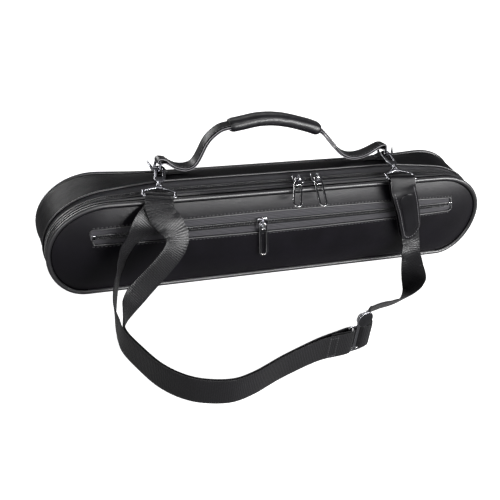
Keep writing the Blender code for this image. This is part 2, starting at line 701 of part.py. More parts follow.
def pocket_outline():
    points = []
    straight = POCKET_HALF_LENGTH - POCKET_CORNER
    for step in range(POCKET_STEPS + 1):
        x = straight - 2 * straight * step / POCKET_STEPS
        points.append((x, POCKET_MIDDLE_HEIGHT + pocket_half(x)))
    side = POCKET_END_HALF - POCKET_CORNER
    points.append((-POCKET_HALF_LENGTH, POCKET_MIDDLE_HEIGHT + side))
    points.append((-POCKET_HALF_LENGTH, POCKET_MIDDLE_HEIGHT - side))
    points += [(-x, 2 * POCKET_MIDDLE_HEIGHT - z) for x, z in points]
    return points


def panel_y(x, z, depth):
    """The y of a place this far behind the front panel's face."""
    return front(depth) - FRONT_BULGE * faceted_bulge(panel_share(x, z, 2 * FRONT_PIPING_RADIUS + FIT))


def pocket_strip(name, half_length, heights, depth, thickness, look):
    """A strip behind the front panel's face, with rows at heights that may follow x."""
    bm = bmesh.new()
    rows = []
    for step in range(POCKET_STEPS + 1):
        x = half_length * (2 * step / POCKET_STEPS - 1)
        levels = [height(x) for height in heights]
        corners = [(z, depth) for z in levels] + [(z, depth + thickness) for z in reversed(levels)]
        rows.append([bm.verts.new((x, panel_y(x, z, back), z)) for z, back in corners])
    count = 2 * len(heights)
    for first, second in zip(rows, rows[1:]):
        for j in range(count):
            k = (j + 1) % count
            bm.faces.new((first[j], first[k], second[k], second[j]))
    bm.faces.new(rows[0])
    bm.faces.new(rows[-1])
    return add_object(name, bm, look)


def make_pocket():
    middle = POCKET_MIDDLE_HEIGHT
    half_gap = FIT / 2
    coil = POCKET_COIL_WIDTH / 2
    long_half = POCKET_HALF_LENGTH + POCKET_TUCK / 2
    coil_half = POCKET_HALF_LENGTH - STOP_LENGTH - 2 * FIT
    depth = LEATHER + FIT
    rise = LEATHER - COIL_HEIGHT
    crease = WAIST_HEIGHT + (HEIGHT - 2 * FRONT_PIPING_RADIUS - FIT - WAIST_HEIGHT) * (1 - DOME_SHARES[-2])
    pocket_strip("pocket_tape_upper", long_half,
                 (lambda x: middle + half_gap, lambda x: crease,
                  lambda x: middle + pocket_half(x) + POCKET_TUCK), depth, TAPE, FABRIC_LOOK)
    pocket_strip("pocket_tape_lower", long_half,
                 (lambda x: middle - pocket_half(x) - POCKET_TUCK, lambda x: middle - half_gap),
                 depth, TAPE, FABRIC_LOOK)
    pocket_strip("pocket_coil_upper", coil_half, (lambda x: middle + half_gap, lambda x: middle + coil),
                 rise, COIL_HEIGHT, FABRIC_LOOK)
    pocket_strip("pocket_coil_lower", coil_half, (lambda x: middle - coil, lambda x: middle - half_gap),
                 rise, COIL_HEIGHT, FABRIC_LOOK)
    for side, sign in (("left", -1), ("right", 1)):
        x = sign * (POCKET_HALF_LENGTH - STOP_LENGTH / 2 - FIT)
        y = (panel_y(x, middle, rise) + panel_y(x, middle, LEATHER)) / 2
        flat_plate("pocket_stop_" + side, rounded_box(STOP_LENGTH / 2, coil, METAL_BEVEL), (), COIL_HEIGHT,
                   lambda u, v, w, x=x, y=y: Vector((x + u, y + w, middle + v)), METAL_LOOK)


# Sliders and pulls

class Frame:
    """A place with its own directions: u along the zipper, v across it and w out of it."""

    def __init__(self, origin, u, v):
        self.origin = Vector(origin)
        self.u = Vector(u).normalized()
        self.w = self.u.cross(Vector(v)).normalized()
        self.v = self.w.cross(self.u)

    def __call__(self, u, v, w):
        return self.origin + self.u * u + self.v * v + self.w * w


def make_slider(name, frame):
    """A slider body over the closed coils: a plate with a flange down each side, and its bail on top."""
    half = SLIDER_WIDTH / 2
    inner = half - SLIDER_FLANGE
    low = -COIL_HEIGHT
    section = [(-half, low), (-inner, low), (-inner, FIT), (inner, FIT), (inner, low), (half, low),
               (half, FIT + SLIDER_PLATE), (-half, FIT + SLIDER_PLATE)]
    turned = Frame(frame.origin, frame.v, frame.w)
    body = flat_plate(name, section, (), SLIDER_LENGTH, turned, METAL_LOOK, frame.origin)
    leg = BAIL_HALF
    top = FIT + SLIDER_PLATE
    sunk = top - SLIDER_PLATE / 2
    roof = top + BAIL_ROOM
    arch = [(-leg - BAIL_STRIP, sunk), (-leg, sunk), (-leg, roof), (leg, roof), (leg, sunk),
            (leg + BAIL_STRIP, sunk), (leg + BAIL_STRIP, roof), (leg, roof + BAIL_STRIP),
            (-leg, roof + BAIL_STRIP), (-leg - BAIL_STRIP, roof)]
    bail = flat_plate(name + "_bail", arch, (), BAIL_WIDTH, turned, METAL_LOOK)
    combine(body, bail, 'UNION')
    return frame(0, 0, top + BAIL_ROOM / 2)


def make_pull(name, pivot, along, lean=0.0):
    """A long slotted pull whose eye bar lies in the bail; it hangs along and leans in its plane."""
    flat = Frame(pivot, (1, 0, 0), along)
    frame = Frame(pivot, flat(math.cos(lean), math.sin(lean), 0) - flat.origin, flat.v)
    narrow = PULL_EYE_WIDTH / 2 + PULL_RIM
    half = PULL_WIDTH / 2
    bar = PULL_RIM / 2
    shoulder = PULL_EYE + PULL_RIM
    end = PULL_LENGTH
    cut = PULL_HEAD_CUT
    outer = [(-narrow, cut - bar), (cut - narrow, -bar), (narrow - cut, -bar), (narrow, cut - bar),
             (narrow, shoulder), (half, shoulder + PULL_RIM),
             (half, end - PULL_CHAMFER), (half - PULL_CHAMFER, end), (PULL_CHAMFER - half, end),
             (-half, end - PULL_CHAMFER), (-half, shoulder + PULL_RIM), (-narrow, shoulder)]
    eye = rounded_box(PULL_EYE_WIDTH / 2, PULL_EYE / 2, PULL_HOLE_CORNER, (0, bar + PULL_EYE / 2))
    slot_start = shoulder + PULL_SLOT_START
    slot_half = (end - PULL_RIM - slot_start) / 2
    slot = rounded_box(half - PULL_RIM, slot_half, PULL_HOLE_CORNER, (0, slot_start + slot_half))
    flat_plate(name, outer, (eye, slot), PULL_THICKNESS, frame, METAL_LOOK, pivot)


def make_main_sliders():
    for side, x in zip(("left", "right"), MAIN_SLIDER_PLACES):
        height = HEIGHT - WALL_INSET - LEATHER + COIL_HEIGHT
        here = settled(x, front(PART_LINE), height)
        across = (settled(x, front(PART_LINE + COIL_WIDTH / 2), height)
                  - settled(x, front(PART_LINE - COIL_WIDTH / 2), height))
        pivot = make_slider("main_slider_" + side, Frame(here, (1, 0, 0), across))
        make_pull("pull_" + side, pivot, pull_direction(pivot), PULL_LEANS[side])


def pull_direction(pivot):
    """The way a pull points when it rests on the front piping."""
    piping = Vector((0, front(0.0), HEIGHT - FRONT_PIPING_RADIUS))
    away = Vector((0, piping.y - pivot.y, piping.z - pivot.z))
    clear = FRONT_PIPING_RADIUS + PULL_THICKNESS / 2 + FIT
    angle = math.atan2(-away.z, -away.y) - math.asin(clear / away.length)
    return Vector((0, -math.cos(angle), -math.sin(angle)))


def make_pocket_slider():
    x = POCKET_SLIDER_PLACE
    middle = POCKET_MIDDLE_HEIGHT
    rise = LEATHER - COIL_HEIGHT
    coil = POCKET_COIL_WIDTH / 2
    across = (0, panel_y(x, middle + coil, rise) - panel_y(x, middle - coil, rise), POCKET_COIL_WIDTH)
    frame = Frame((x, panel_y(x, middle, rise), middle), (1, 0, 0), across)
    pivot = make_slider("pocket_slider", frame)
    make_pull("pocket_pull", pivot, Vector((0, 0, -1)))


# Handle, rings and tabs

def across_top():
    """The direction across the top wall where the handle is sewn: level at the front, lower at the back."""
    return Vector((0, math.cos(TOP_TILT), -math.sin(TOP_TILT)))


def ring_frame(side):
    """The ring's own directions at the middle of its lower bar: u across the strap, v up the ring."""
    x = RING_PLACES[side]
    lean = RING_LEANS[side]
    inward = 1 if side == "left" else -1
    level = top_z(x, HANDLE_Y) + (2 * FIT + TAB_LEATHER + RING_WIRE) / math.cos(TOP_TILT)
    rise = math.cos(lean)
    up = Vector((inward * math.sin(lean), rise * math.sin(TOP_TILT), rise * math.cos(TOP_TILT)))
    return Frame((x, HANDLE_Y, level), across_top(), up)


def make_ring(side):
    frame = ring_frame(side)
    corners = rounded_box(RING_WIDTH / 2, RING_HEIGHT / 2, RING_CORNER, (0, RING_HEIGHT / 2))
    tube("d_ring_" + side, [frame(u, v, 0) for u, v in corners], RING_WIRE, METAL_LOOK, closed=True)


def fold(line, sides, bar_radius, thickness, gap, fade, upper_length=None):
    """A strap doubled round a bar at the line's end: out along one side, round the bar and back.

    Away from the bar the layers lie a gap apart; upper_length cuts the first layer short.
    """
    centre = line[-1]
    close = (thickness + gap) / 2
    wide = bar_radius + FIT + thickness / 2
    upper, lower, across = [], [], []
    clear = [i for i in range(len(line) - 1) if (line[i] - centre).length > FOLD_CLEAR_SHARE * wide]
    for i in clear:
        along = (line[i + 1] - line[max(i - 1, 0)]).normalized()
        out = sides[i].cross(along).normalized()
        share = clamp(1 - (line[i] - centre).length / fade, 0.0, 1.0)
        reach = close + (wide - close) * share * share * (3 - 2 * share)
        upper.append(line[i] + out * reach)
        lower.append(line[i] - out * reach)
        across.append(sides[i])
    along = (centre - line[clear[-1]]).normalized()
    out = sides[-1].cross(along).normalized()
    first = 0
    if upper_length is not None:
        first = next(i for i, point in enumerate(line) if (point - centre).length < upper_length)
    turn = []
    for step in range(FOLD_STEPS + 1):
        angle = math.pi * step / FOLD_STEPS
        turn.append(centre + out * wide * math.cos(angle) + along * wide * math.sin(angle))
    route = upper[first:] + turn + lower[::-1]
    return route, across[first:] + [sides[-1]] * len(turn) + across[::-1]


def make_ring_tab(side):
    """The leather tab that holds a ring down: sewn to the top wall, round the ring and back over itself."""
    frame = ring_frame(side)
    inward = 1 if side == "left" else -1
    across = across_top() * inward
    close = (TAB_LEATHER + FIT) / 2
    wide = RING_WIRE + FIT + TAB_LEATHER / 2
    line = []
    for step in range(TAB_STEPS):
        away = TAB_LENGTH * (1 - step / TAB_STEPS)
        x = frame.origin.x + inward * away
        share = clamp(1 - away / TAB_FADE, 0.0, 1.0)
        reach = close + (wide - close) * share * share * (3 - 2 * share)
        lift = (FIT + TAB_LEATHER / 2 + reach) / math.cos(TOP_TILT)
        line.append(Vector((x, HANDLE_Y, top_z(x, HANDLE_Y) + lift)))
    line.append(frame.origin)
    route, sides = fold(line, [across] * len(line), RING_WIRE, TAB_LEATHER, FIT, TAB_FADE, TAB_RETURN)
    ribbon("ring_tab_" + side, route, sides, TAB_WIDTH, TAB_LEATHER, LEATHER_LOOK)


def handle_line():
    """The handle's middle line as it stands, from the left ring's upper bar to the right one's."""
    left = ring_frame("left")(0, RING_HEIGHT, 0)
    right = ring_frame("right")(0, RING_HEIGHT, 0)
    points = []
    for x, z in HANDLE_SHARES:
        bar = left if x < 0 else right
        y = HANDLE_Y + (bar.y - HANDLE_Y) * beside_ring(x)
        points.append(Vector((HANDLE_MIDDLE + x * HANDLE_HALF_SPAN, y, HANDLE_AXIS_Z + z * HANDLE_RISE)))
    return smooth_route([left, *points, right], HANDLE_STEPS)


def beside_ring(share):
    """0 over the handle's arch and 1 beside its rings, by share of its half span."""
    return clamp((abs(share) - HANDLE_TILT_SHARE) / (1 - HANDLE_TILT_SHARE), 0.0, 1.0)


def handle_side(point):
    """Across the handle: level over the arch, tilted with the top wall beside the rings."""
    share = beside_ring((point.x - HANDLE_MIDDLE) / HANDLE_HALF_SPAN)
    return (Vector((0, 1, 0)) * (1 - share) + across_top() * share).normalized()


def make_handle():
    line = handle_line()
    rises = [i for i, point in enumerate(line) if point.z > HANDLE_AXIS_Z + HANDLE_JOIN
             and abs(point.x - HANDLE_MIDDLE) < HANDLE_TILT_SHARE * HANDLE_HALF_SPAN]
    low, high = rises[0], rises[-1]
    pivot = (0, HANDLE_Y, HANDLE_AXIS_Z)
    arch = line[low:high + 1]
    level = Vector((0, 1, 0))
    depth = 2 * HANDLE_LAYER + FIT
    ribbon("handle_arch", arch, [level] * len(arch), HANDLE_WIDTH, depth, LEATHER_LOOK, pivot=pivot)

    inside = [point for point in arch if GRIP_ENDS[0] < point.x < GRIP_ENDS[1]]
    grip = sleeve("handle_grip", inside, pivot)
    room = [inside[0] * 2 - inside[1], *inside, inside[-1] * 2 - inside[-2]]
    slot = ribbon("grip_slot", room, [level] * len(room), HANDLE_WIDTH + 2 * FIT, depth + 2 * FIT,
                  LEATHER_LOOK, pivot=pivot)
    combine(grip, slot, 'DIFFERENCE')

    for side, part in (("left", line[low::-1]), ("right", line[high:])):
        start = part[0] + (part[1] - part[0]).normalized() * FIT
        part = [start, *part[1:]]
        sign = 1 if side == "left" else -1
        sides = [handle_side(point) * sign for point in part]
        route, across = fold(part, sides, RING_WIRE, HANDLE_LAYER, FIT, HANDLE_FOLD_FADE)
        ribbon("handle_end_" + side, route, across, HANDLE_WIDTH, HANDLE_LAYER, LEATHER_LOOK)


def sleeve(name, line, pivot):
    """The grip: an oval padded sleeve round the middle of the handle, drawn in a little at its ends."""
    bm = bmesh.new()
    rows = []
    last = len(line) - 1
    for i, point in enumerate(line):
        along = (line[min(i + 1, last)] - line[max(i - 1, 0)]).normalized()
        up = along.cross(Vector((0, 1, 0))).normalized()
        size = GRIP_END_SHARE if i in (0, last) else 1.0
        row = []
        for step in range(GRIP_SIDES):
            angle = 2 * math.pi * (step + 0.5) / GRIP_SIDES
            row.append(bm.verts.new(point + Vector((0, 1, 0)) * GRIP_HALF_WIDTH * size * math.cos(angle)
                                    + up * GRIP_HALF_DEPTH * size * math.sin(angle)))
        rows.append(row)
    for first, second in zip(rows, rows[1:]):
        for j in range(GRIP_SIDES):
            k = (j + 1) % GRIP_SIDES
            bm.faces.new((first[j], first[k], second[k], second[j]))
    bm.faces.new(rows[0])
    bm.faces.new(rows[-1])
    return add_object(name, bm, LEATHER_LOOK, pivot)


# Hooks with their gates and swivelling eyes

def hook_frame(side):
    """The hook's directions at the middle of its bowl: u towards the strap, v outboard."""
    ring = ring_frame(side)
    eye = Vector(EYE_PLACES[side])
    leg = ring(-RING_WIDTH / 2, HOOK_HEIGHT, 0)
    along = (eye - leg).normalized()
    outboard = Vector((-1 if side == "left" else 1, 0, 0))
    return Frame(leg - along * HOOK_BACK, along, outboard)


def arc(centre, radius, start, stop, steps):
    """Points (u, v) along an arc, its angles in radians."""
    angles = [start + (stop - start) * step / steps for step in range(steps + 1)]
    return [(centre[0] + radius * math.cos(a), centre[1] + radius * math.sin(a)) for a in angles]


def make_hook(side):
    frame = hook_frame(side)
    outer = HOOK_BOWL + HOOK_SECTION
    start = GATE_PIVOT_AHEAD + GATE_LENGTH + FIT
    turn = 2 * math.pi - HOOK_NOSE
    bow = arc((0, 0), outer, -math.pi / 2, -turn, HOOK_STEPS)
    bowl = arc((0, 0), HOOK_BOWL, -turn, -math.pi / 2, HOOK_STEPS)
    stem = [(start + (HOOK_LENGTH - start) * u, outer * v) for u, v in HOOK_STEM_SHARES]
    outline_points = [*bow, *bowl, (start - HOOK_SECTION / 3, -HOOK_BOWL), *stem]
    flat_plate("hook_" + side, outline_points, (), HOOK_THICKNESS, frame, METAL_LOOK)

    middle = HOOK_BOWL + HOOK_SECTION / 2
    pivot = (GATE_PIVOT_AHEAD, middle)
    half = GATE_WIDTH / 2
    horn = GATE_HORN
    knuckle = arc(pivot, HOOK_SECTION / 2, math.pi * 1.15, math.pi * 1.75, FOLD_STEPS // 2)
    crest = outer + HOOK_SECTION / 2
    points = [*knuckle, (pivot[0] + GATE_LENGTH, middle - half), (pivot[0] + GATE_LENGTH, middle + half),
              (pivot[0] + HOOK_SECTION, middle + half), (pivot[0], crest + half),
              (horn[0], horn[1] + GATE_HORN_TIP), (horn[0] - GATE_HORN_TIP, horn[1]),
              (horn[0] + GATE_HORN_TIP, horn[1] - GATE_HORN_TIP), (-HOOK_SECTION, crest),
              (pivot[0] - HOOK_SECTION / 2 - FIT, outer + 3 * FIT)]
    flat_plate("hook_gate_" + side, points, (), HOOK_THICKNESS, frame, METAL_LOOK, frame(*pivot, 0))

    reach = (Vector(EYE_PLACES[side]) - frame.origin).length
    begin = HOOK_LENGTH + FIT
    length = reach + EYE_WIRE / 2 - begin
    room = STRAP_WIDTH / 2 + EYE_ROOM
    rim = room + EYE_SIDE
    half_outline = [(begin + length * u, rim * v) for u, v in EYE_OUTLINE_SHARES]
    half_hole = [(begin + length * u, room * v) for u, v in EYE_HOLE_SHARES]
    half_hole.append((reach - EYE_WIRE / 2, room))
    outline_points = half_outline + [(u, -v) for u, v in reversed(half_outline)]
    hole = half_hole + [(u, -v) for u, v in reversed(half_hole)]
    flat_plate("hook_eye_" + side, outline_points, (hole,), EYE_THICKNESS, frame, METAL_LOOK)


# The strap

def bar_reach(width, thickness):
    """How far a square bar's corners lie from its middle."""
    return math.hypot(width, thickness) / 2


def widths_with_round_end(count):
    """The leather end's width at each point of its route, drawn in at both ends of the strip."""
    widths = [END_TAB_WIDTH] * count
    for i, share in enumerate(TAB_ROUND_SHARES):
        widths[i] = widths[-1 - i] = END_TAB_WIDTH * share
    return widths


def hung(line, side):
    """The points of a line that hangs from an eye, measured along the bag from there."""
    return [Vector((EYE_PLACES[side][0], 0, 0)) + Vector(point) for point, _ in line]


def single_stretch():
    """The single webbing's points, spread along the bag between the slider and the leather end."""
    start = GLIDE_PLACE[0] + SINGLE_GAP
    reach = hung(END_TAB_LINE, "right")[0].x - start
    return [Vector((start + reach * share, y, z))
            for share, ((y, z), _) in zip(SINGLE_STRETCH_SHARES, SINGLE_STRETCH)]


def end_tab_line():
    """The leather end's middle line and width directions, from its round end up to the eye's bar."""
    ends = hung(END_TAB_LINE, "right")
    low = ends[0] + (ends[1] - ends[0]).normalized() * END_TAB_ROUND
    route = smooth_route([ends[0], low, *ends[1:], EYE_PLACES["right"]], STRAP_STEPS)
    sides = [END_TAB_LINE[0][1], *(side for _, side in END_TAB_LINE), hook_frame("right").v]
    return route, blended_sides(sides, STRAP_STEPS)


def make_end_tab():
    route, across = end_tab_line()
    room = STRAP_THICKNESS + 4 * FIT
    bar = bar_reach(EYE_WIRE, EYE_THICKNESS) + FIT
    route, sides = fold(route, across, bar, END_TAB_LEATHER, room, END_TAB_FADE)
    ribbon("strap_end_tab", route, sides, widths_with_round_end(len(route)), END_TAB_LEATHER, LEATHER_LOOK)


def glide_frame():
    turned = Vector((math.cos(GLIDE_TURN), math.sin(GLIDE_TURN), 0))
    return Frame(GLIDE_PLACE, turned, (0, 0, 1))


def weave(shares):
    """Places in the slider from shares of its length and of a layer's step out from its middle."""
    frame = glide_frame()
    step = GLIDE_THICKNESS / 2 + FIT + STRAP_THICKNESS / 2
    return [frame(u * GLIDE_LENGTH, 0, w * step) for u, w in shares]


def ground_layer(sign):
    """One layer of the doubled run along the ground, out to one side of its middle line."""
    start = GLIDE_PLACE[0]
    reach = hung(OUTER_STRAND, "left")[-1].x - start
    line = [Vector((start + reach * share, y, z)) for share, (y, z) in zip(GROUND_RUN_SHARES, GROUND_RUN)]
    last = len(line) - 1
    layer = []
    for i, point in enumerate(line):
        along = (line[min(i + 1, last)] - line[max(i - 1, 0)]).normalized()
        out = along.cross(Vector((0, 0, 1)))
        layer.append(point + out * sign * (STRAP_THICKNESS + STRAP_LAYER_GAP) / 2)
    return layer


def webbing(name, points, sides):
    route = smooth_route(points, STRAP_STEPS)
    across = blended_sides(sides, STRAP_STEPS)
    ribbon(name, route, across, STRAP_WIDTH, STRAP_THICKNESS, FABRIC_LOOK)


def over_eye(start, stop):
    """The webbing's turn over the left hook's eye bar, by angle from the bar's front."""
    frame = hook_frame("left")
    bar = Vector(EYE_PLACES["left"])
    radius = bar_reach(EYE_WIRE, EYE_THICKNESS) + FIT + STRAP_THICKNESS / 2
    up = Vector((0, 0, 1))
    points = []
    for step in range(FOLD_STEPS):
        angle = start + (stop - start) * step / (FOLD_STEPS - 1)
        points.append(bar + frame.u * radius * math.cos(angle) + up * radius * math.sin(angle))
    return points


def make_strap():
    upright = Vector((0, 0, 1))
    frame = hook_frame("left")
    outer_points = over_eye(EYE_START, math.pi) + hung(OUTER_STRAND, "left")
    outer_sides = [frame.v] * FOLD_STEPS + [Vector(side) for _, side in OUTER_STRAND]
    weave_points = weave(WEAVE_OUTER_SHARES)
    outer_points += ground_layer(1) + weave_points
    outer_sides += [upright] * (len(GROUND_RUN) + len(weave_points))
    webbing("strap_outer", outer_points, outer_sides)

    inner_points = over_eye(EYE_START - EYE_INNER_TURN, EYE_START - EYE_JOIN)[::-1]
    inner_points += hung(INNER_STRAND, "left") + ground_layer(-1) + weave(WEAVE_INNER_SHARES)
    inner_sides = [frame.v] * FOLD_STEPS + [Vector(side) for _, side in INNER_STRAND]
    glide = glide_frame()
    bar = glide((GLIDE_BAR - GLIDE_LENGTH) / 2, 0, 0)
    radius = bar_reach(GLIDE_BAR, GLIDE_THICKNESS) + FIT + STRAP_THICKNESS / 2
    turn = [bar + glide.u * radius * math.sin(a) - glide.w * radius * math.cos(a)
            for a in (0.0, math.pi / 4, math.pi / 2, math.pi * 3 / 4, math.pi)]
    inner_points += turn + weave(WEAVE_RETURN_SHARES)
    inner_sides += [upright] * (len(inner_points) - len(inner_sides))
    webbing("strap_inner", inner_points, inner_sides)

    last = weave_points[-1]
    onward = (weave_points[-1] - weave_points[-2]).normalized()
    tab_route, tab_sides = end_tab_line()
    inside = slice(1, TAB_WEBBING_POINTS)
    single_points = [last + onward * FIT, last + onward * SINGLE_START]
    single_points += single_stretch() + tab_route[inside]
    single_sides = [upright, upright] + [Vector(side) for _, side in SINGLE_STRETCH] + tab_sides[inside]
    webbing("strap_single", single_points, single_sides)


def make_glide():
    """The strap slider: a frame with two slots and a round lobe that carries a plain disc."""
    frame = glide_frame()
    half_u = GLIDE_LENGTH / 2
    half_v = GLIDE_HEIGHT / 2
    lobe_u, lobe_v = GLIDE_LOBE
    base = rounded_box(half_u, half_v, GLIDE_CORNER)
    quarter_steps = len(base) // 4
    left_side = base[quarter_steps:]
    drop = math.asin((half_u - lobe_u) / GLIDE_LOBE_RADIUS)
    meet = math.acos((lobe_v - half_v) / GLIDE_LOBE_RADIUS)
    lobe = arc(GLIDE_LOBE, GLIDE_LOBE_RADIUS, drop - math.pi / 2, math.pi * 3 / 2 - meet, DISC_SIDES // 2)
    slot_half = (half_u - GLIDE_BAR - GLIDE_CENTRE_BAR / 2) / 2
    slot_v = STRAP_WIDTH / 2 + GLIDE_SLOT_ROOM
    slots = []
    for sign in (-1, 1):
        middle = sign * (GLIDE_CENTRE_BAR / 2 + slot_half)
        slots.append(rounded_box(slot_half, slot_v, GLIDE_SLOT_CORNER, (middle, 0)))
    flat_plate("strap_slider", lobe + left_side, slots, GLIDE_THICKNESS, frame, METAL_LOOK)

    disc = arc((0, 0), GLIDE_DISC_RADIUS, 0, 2 * math.pi * (1 - 1 / DISC_SIDES), DISC_SIDES - 1)
    front_face = GLIDE_THICKNESS / 2 + FIT + GLIDE_DISC_THICKNESS / 2
    place = Frame(frame(lobe_u, lobe_v, front_face), frame.u, frame.v)
    flat_plate("slider_disc", disc, (), GLIDE_DISC_THICKNESS, place, METAL_LOOK)


clear_scene()
make_walls()
make_back()
make_base_padding()
make_main_zipper()
make_lid()
make_pocket()
make_main_sliders()
make_pocket_slider()
for hand in ("left", "right"):
    make_ring(hand)
    make_ring_tab(hand)
    make_hook(hand)
make_handle()
make_end_tab()
make_strap()
make_glide()
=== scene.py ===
import json
import math

import bmesh
import bpy
from mathutils import Matrix, Quaternion, Vector, noise

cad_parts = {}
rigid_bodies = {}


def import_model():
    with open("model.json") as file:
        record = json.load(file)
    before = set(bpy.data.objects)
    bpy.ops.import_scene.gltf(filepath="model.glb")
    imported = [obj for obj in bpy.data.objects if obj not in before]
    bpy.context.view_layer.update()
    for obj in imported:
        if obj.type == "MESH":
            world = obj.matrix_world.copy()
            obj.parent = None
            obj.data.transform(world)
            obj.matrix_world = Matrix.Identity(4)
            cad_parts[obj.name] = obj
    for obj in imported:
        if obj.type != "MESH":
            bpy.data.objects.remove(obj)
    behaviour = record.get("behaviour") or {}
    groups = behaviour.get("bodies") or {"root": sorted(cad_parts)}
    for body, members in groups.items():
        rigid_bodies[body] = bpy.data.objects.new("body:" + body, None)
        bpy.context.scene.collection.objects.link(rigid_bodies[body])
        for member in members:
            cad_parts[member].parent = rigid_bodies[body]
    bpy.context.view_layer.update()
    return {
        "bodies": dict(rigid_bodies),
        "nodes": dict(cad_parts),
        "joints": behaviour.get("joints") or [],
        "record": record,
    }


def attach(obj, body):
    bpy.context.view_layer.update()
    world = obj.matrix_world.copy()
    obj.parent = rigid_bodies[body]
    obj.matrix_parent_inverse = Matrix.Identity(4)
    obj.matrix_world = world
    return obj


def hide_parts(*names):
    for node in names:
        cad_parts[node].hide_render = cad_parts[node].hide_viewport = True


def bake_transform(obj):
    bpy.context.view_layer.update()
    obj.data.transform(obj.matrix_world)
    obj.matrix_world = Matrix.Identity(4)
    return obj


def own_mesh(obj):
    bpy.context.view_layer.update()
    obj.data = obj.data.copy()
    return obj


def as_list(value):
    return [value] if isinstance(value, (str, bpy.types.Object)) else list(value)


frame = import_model()

# Sizes repeated from the part's source, in metres
LENGTH, HEIGHT, DEPTH = 0.440, 0.0946, 0.0564
TOP_END_RADIUS, BOTTOM_END_RADIUS, WAIST_HEIGHT = 0.0548, 0.0373, 0.0461
FIT, LEATHER, TAPE, FOAM, LINING, WALL_INSET = 0.0003, 0.0012, 0.0007, 0.0040, 0.0007, 0.0008
FRONT_PIPING_RADIUS, REAR_PIPING_RADIUS = 0.00225, 0.0019
FRONT_BULGE, REAR_BULGE, BULGE_POWER = 0.0070, 0.0050, 2.5
TOP_CROWN, TOP_BACK_SAG, TOP_SHOULDER_POWER = 0.0066, 0.0045, 4
SEAM_BOW, TEETH_BOW_SHARE = 0.0045, 0.46
CROWN_FLAT_HALF, CROWN_END, CROWN_FOOT_HEIGHT = 0.100, 0.205, 0.050
PART_LINE, COIL_WIDTH, COIL_HEIGHT = 0.0092, 0.0050, 0.0016
FRONT_GUSSET_DEPTH, REAR_SEAM_DEPTH, TAPE_TUCK, FOAM_RIM_DEPTH = 0.0051, 0.0183, 0.0030, 0.0245
POCKET_HALF_LENGTH, POCKET_MIDDLE_HEIGHT = 0.1825, 0.0642
POCKET_MIDDLE_HALF, POCKET_END_HALF, POCKET_CORNER, POCKET_TUCK = 0.0098, 0.0066, 0.0030, 0.0040
POCKET_COIL_WIDTH = 0.0044
SLIDER_LENGTH, SLIDER_WIDTH, SLIDER_PLATE, SLIDER_FLANGE = 0.0110, 0.0094, 0.0012, 0.0008
BAIL_HALF, BAIL_STRIP, BAIL_ROOM, BAIL_WIDTH = 0.0022, 0.0008, 0.0030, 0.0012
MAIN_SLIDER_PLACES, POCKET_SLIDER_PLACE = (0.0140, 0.0330), -0.0240
PULL_LENGTH, PULL_WIDTH, PULL_THICKNESS, PULL_RIM = 0.0360, 0.0085, 0.0016, 0.0018
PULL_EYE, PULL_EYE_WIDTH, PULL_CHAMFER, PULL_SLOT_START = 0.0046, 0.0036, 0.0024, 0.0022
PULL_HEAD_CUT = 0.0021
PULL_LEANS = {"left": math.radians(21), "right": math.radians(9), "pocket": math.radians(-9)}
STOP_LENGTH = 0.0040
HANDLE_Y, HANDLE_WIDTH, HANDLE_LAYER, HANDLE_MIDDLE = 0.0130, 0.0124, 0.0016, 0.0040
HANDLE_HALF_SPAN, HANDLE_RISE, HANDLE_AXIS_Z, HANDLE_JOIN = 0.1120, 0.0448, 0.1012, 0.0085
GRIP_HALF_WIDTH, GRIP_HALF_DEPTH, GRIP_ENDS = 0.0076, 0.0060, (-0.0500, 0.0420)
HANDLE_FOLD_FADE, FOLD_CLEAR_SHARE, HANDLE_TILT_SHARE = 0.0090, 1.3, 0.80
TAB_LENGTH, TAB_RETURN, TAB_LEATHER, TAB_WIDTH, TAB_FADE = 0.0240, 0.0120, 0.0009, 0.0110, 0.0080
TOP_TILT = math.radians(12.5)
RING_WIRE, RING_WIDTH, RING_HEIGHT, RING_CORNER = 0.00125, 0.0164, 0.0103, 0.0022
RING_PLACES = {"left": -0.1140, "right": 0.1190}
RING_LEANS = {"left": math.radians(15), "right": math.radians(10)}
HOOK_HEIGHT, HOOK_THICKNESS, HOOK_BOWL, HOOK_SECTION = 0.0030, 0.0022, 0.0024, 0.0026
HOOK_BACK, HOOK_LENGTH, HOOK_NOSE = 0.0020, 0.0250, math.radians(95)
GATE_LENGTH, GATE_WIDTH, GATE_PIVOT_AHEAD = 0.0126, 0.0020, 0.0015
GATE_HORN, GATE_HORN_TIP = (-0.0125, 0.0112), 0.0006
EYE_WIRE, EYE_THICKNESS, EYE_SIDE, EYE_ROOM = 0.0022, 0.0020, 0.0022, 0.0009
EYE_PLACES = {"left": (-0.1240, -0.0350, 0.1018), "right": (0.1130, -0.0380, 0.1018)}
HOOK_STEM_SHARES = ((0.0, 0.16), (0.0, 0.98), (0.30, 0.98), (0.53, 0.84), (0.72, 0.44), (1.0, 0.32),
                    (1.0, -0.32), (0.72, -0.44), (0.48, -0.84), (0.06, -1.0))
EYE_OUTLINE_SHARES = ((0.0, 0.18), (0.16, 0.19), (0.32, 0.50), (0.47, 0.86), (0.57, 1.0), (0.93, 1.0), (1.0, 0.93))
EYE_HOLE_SHARES = ((0.36, 0.20), (0.52, 0.80), (0.60, 1.0))
STRAP_WIDTH, STRAP_THICKNESS, STRAP_LAYER_GAP = 0.0240, 0.0014, 0.0006
END_TAB_WIDTH, END_TAB_LEATHER, END_TAB_ROUND, END_TAB_FADE = 0.0250, 0.0016, 0.0040, 0.0120
EYE_START, EYE_INNER_TURN, EYE_JOIN = math.radians(50), math.radians(60), math.radians(9)
GLIDE_LENGTH, GLIDE_HEIGHT, GLIDE_BAR, GLIDE_THICKNESS, GLIDE_CORNER = 0.0210, 0.0300, 0.0022, 0.0020, 0.0030
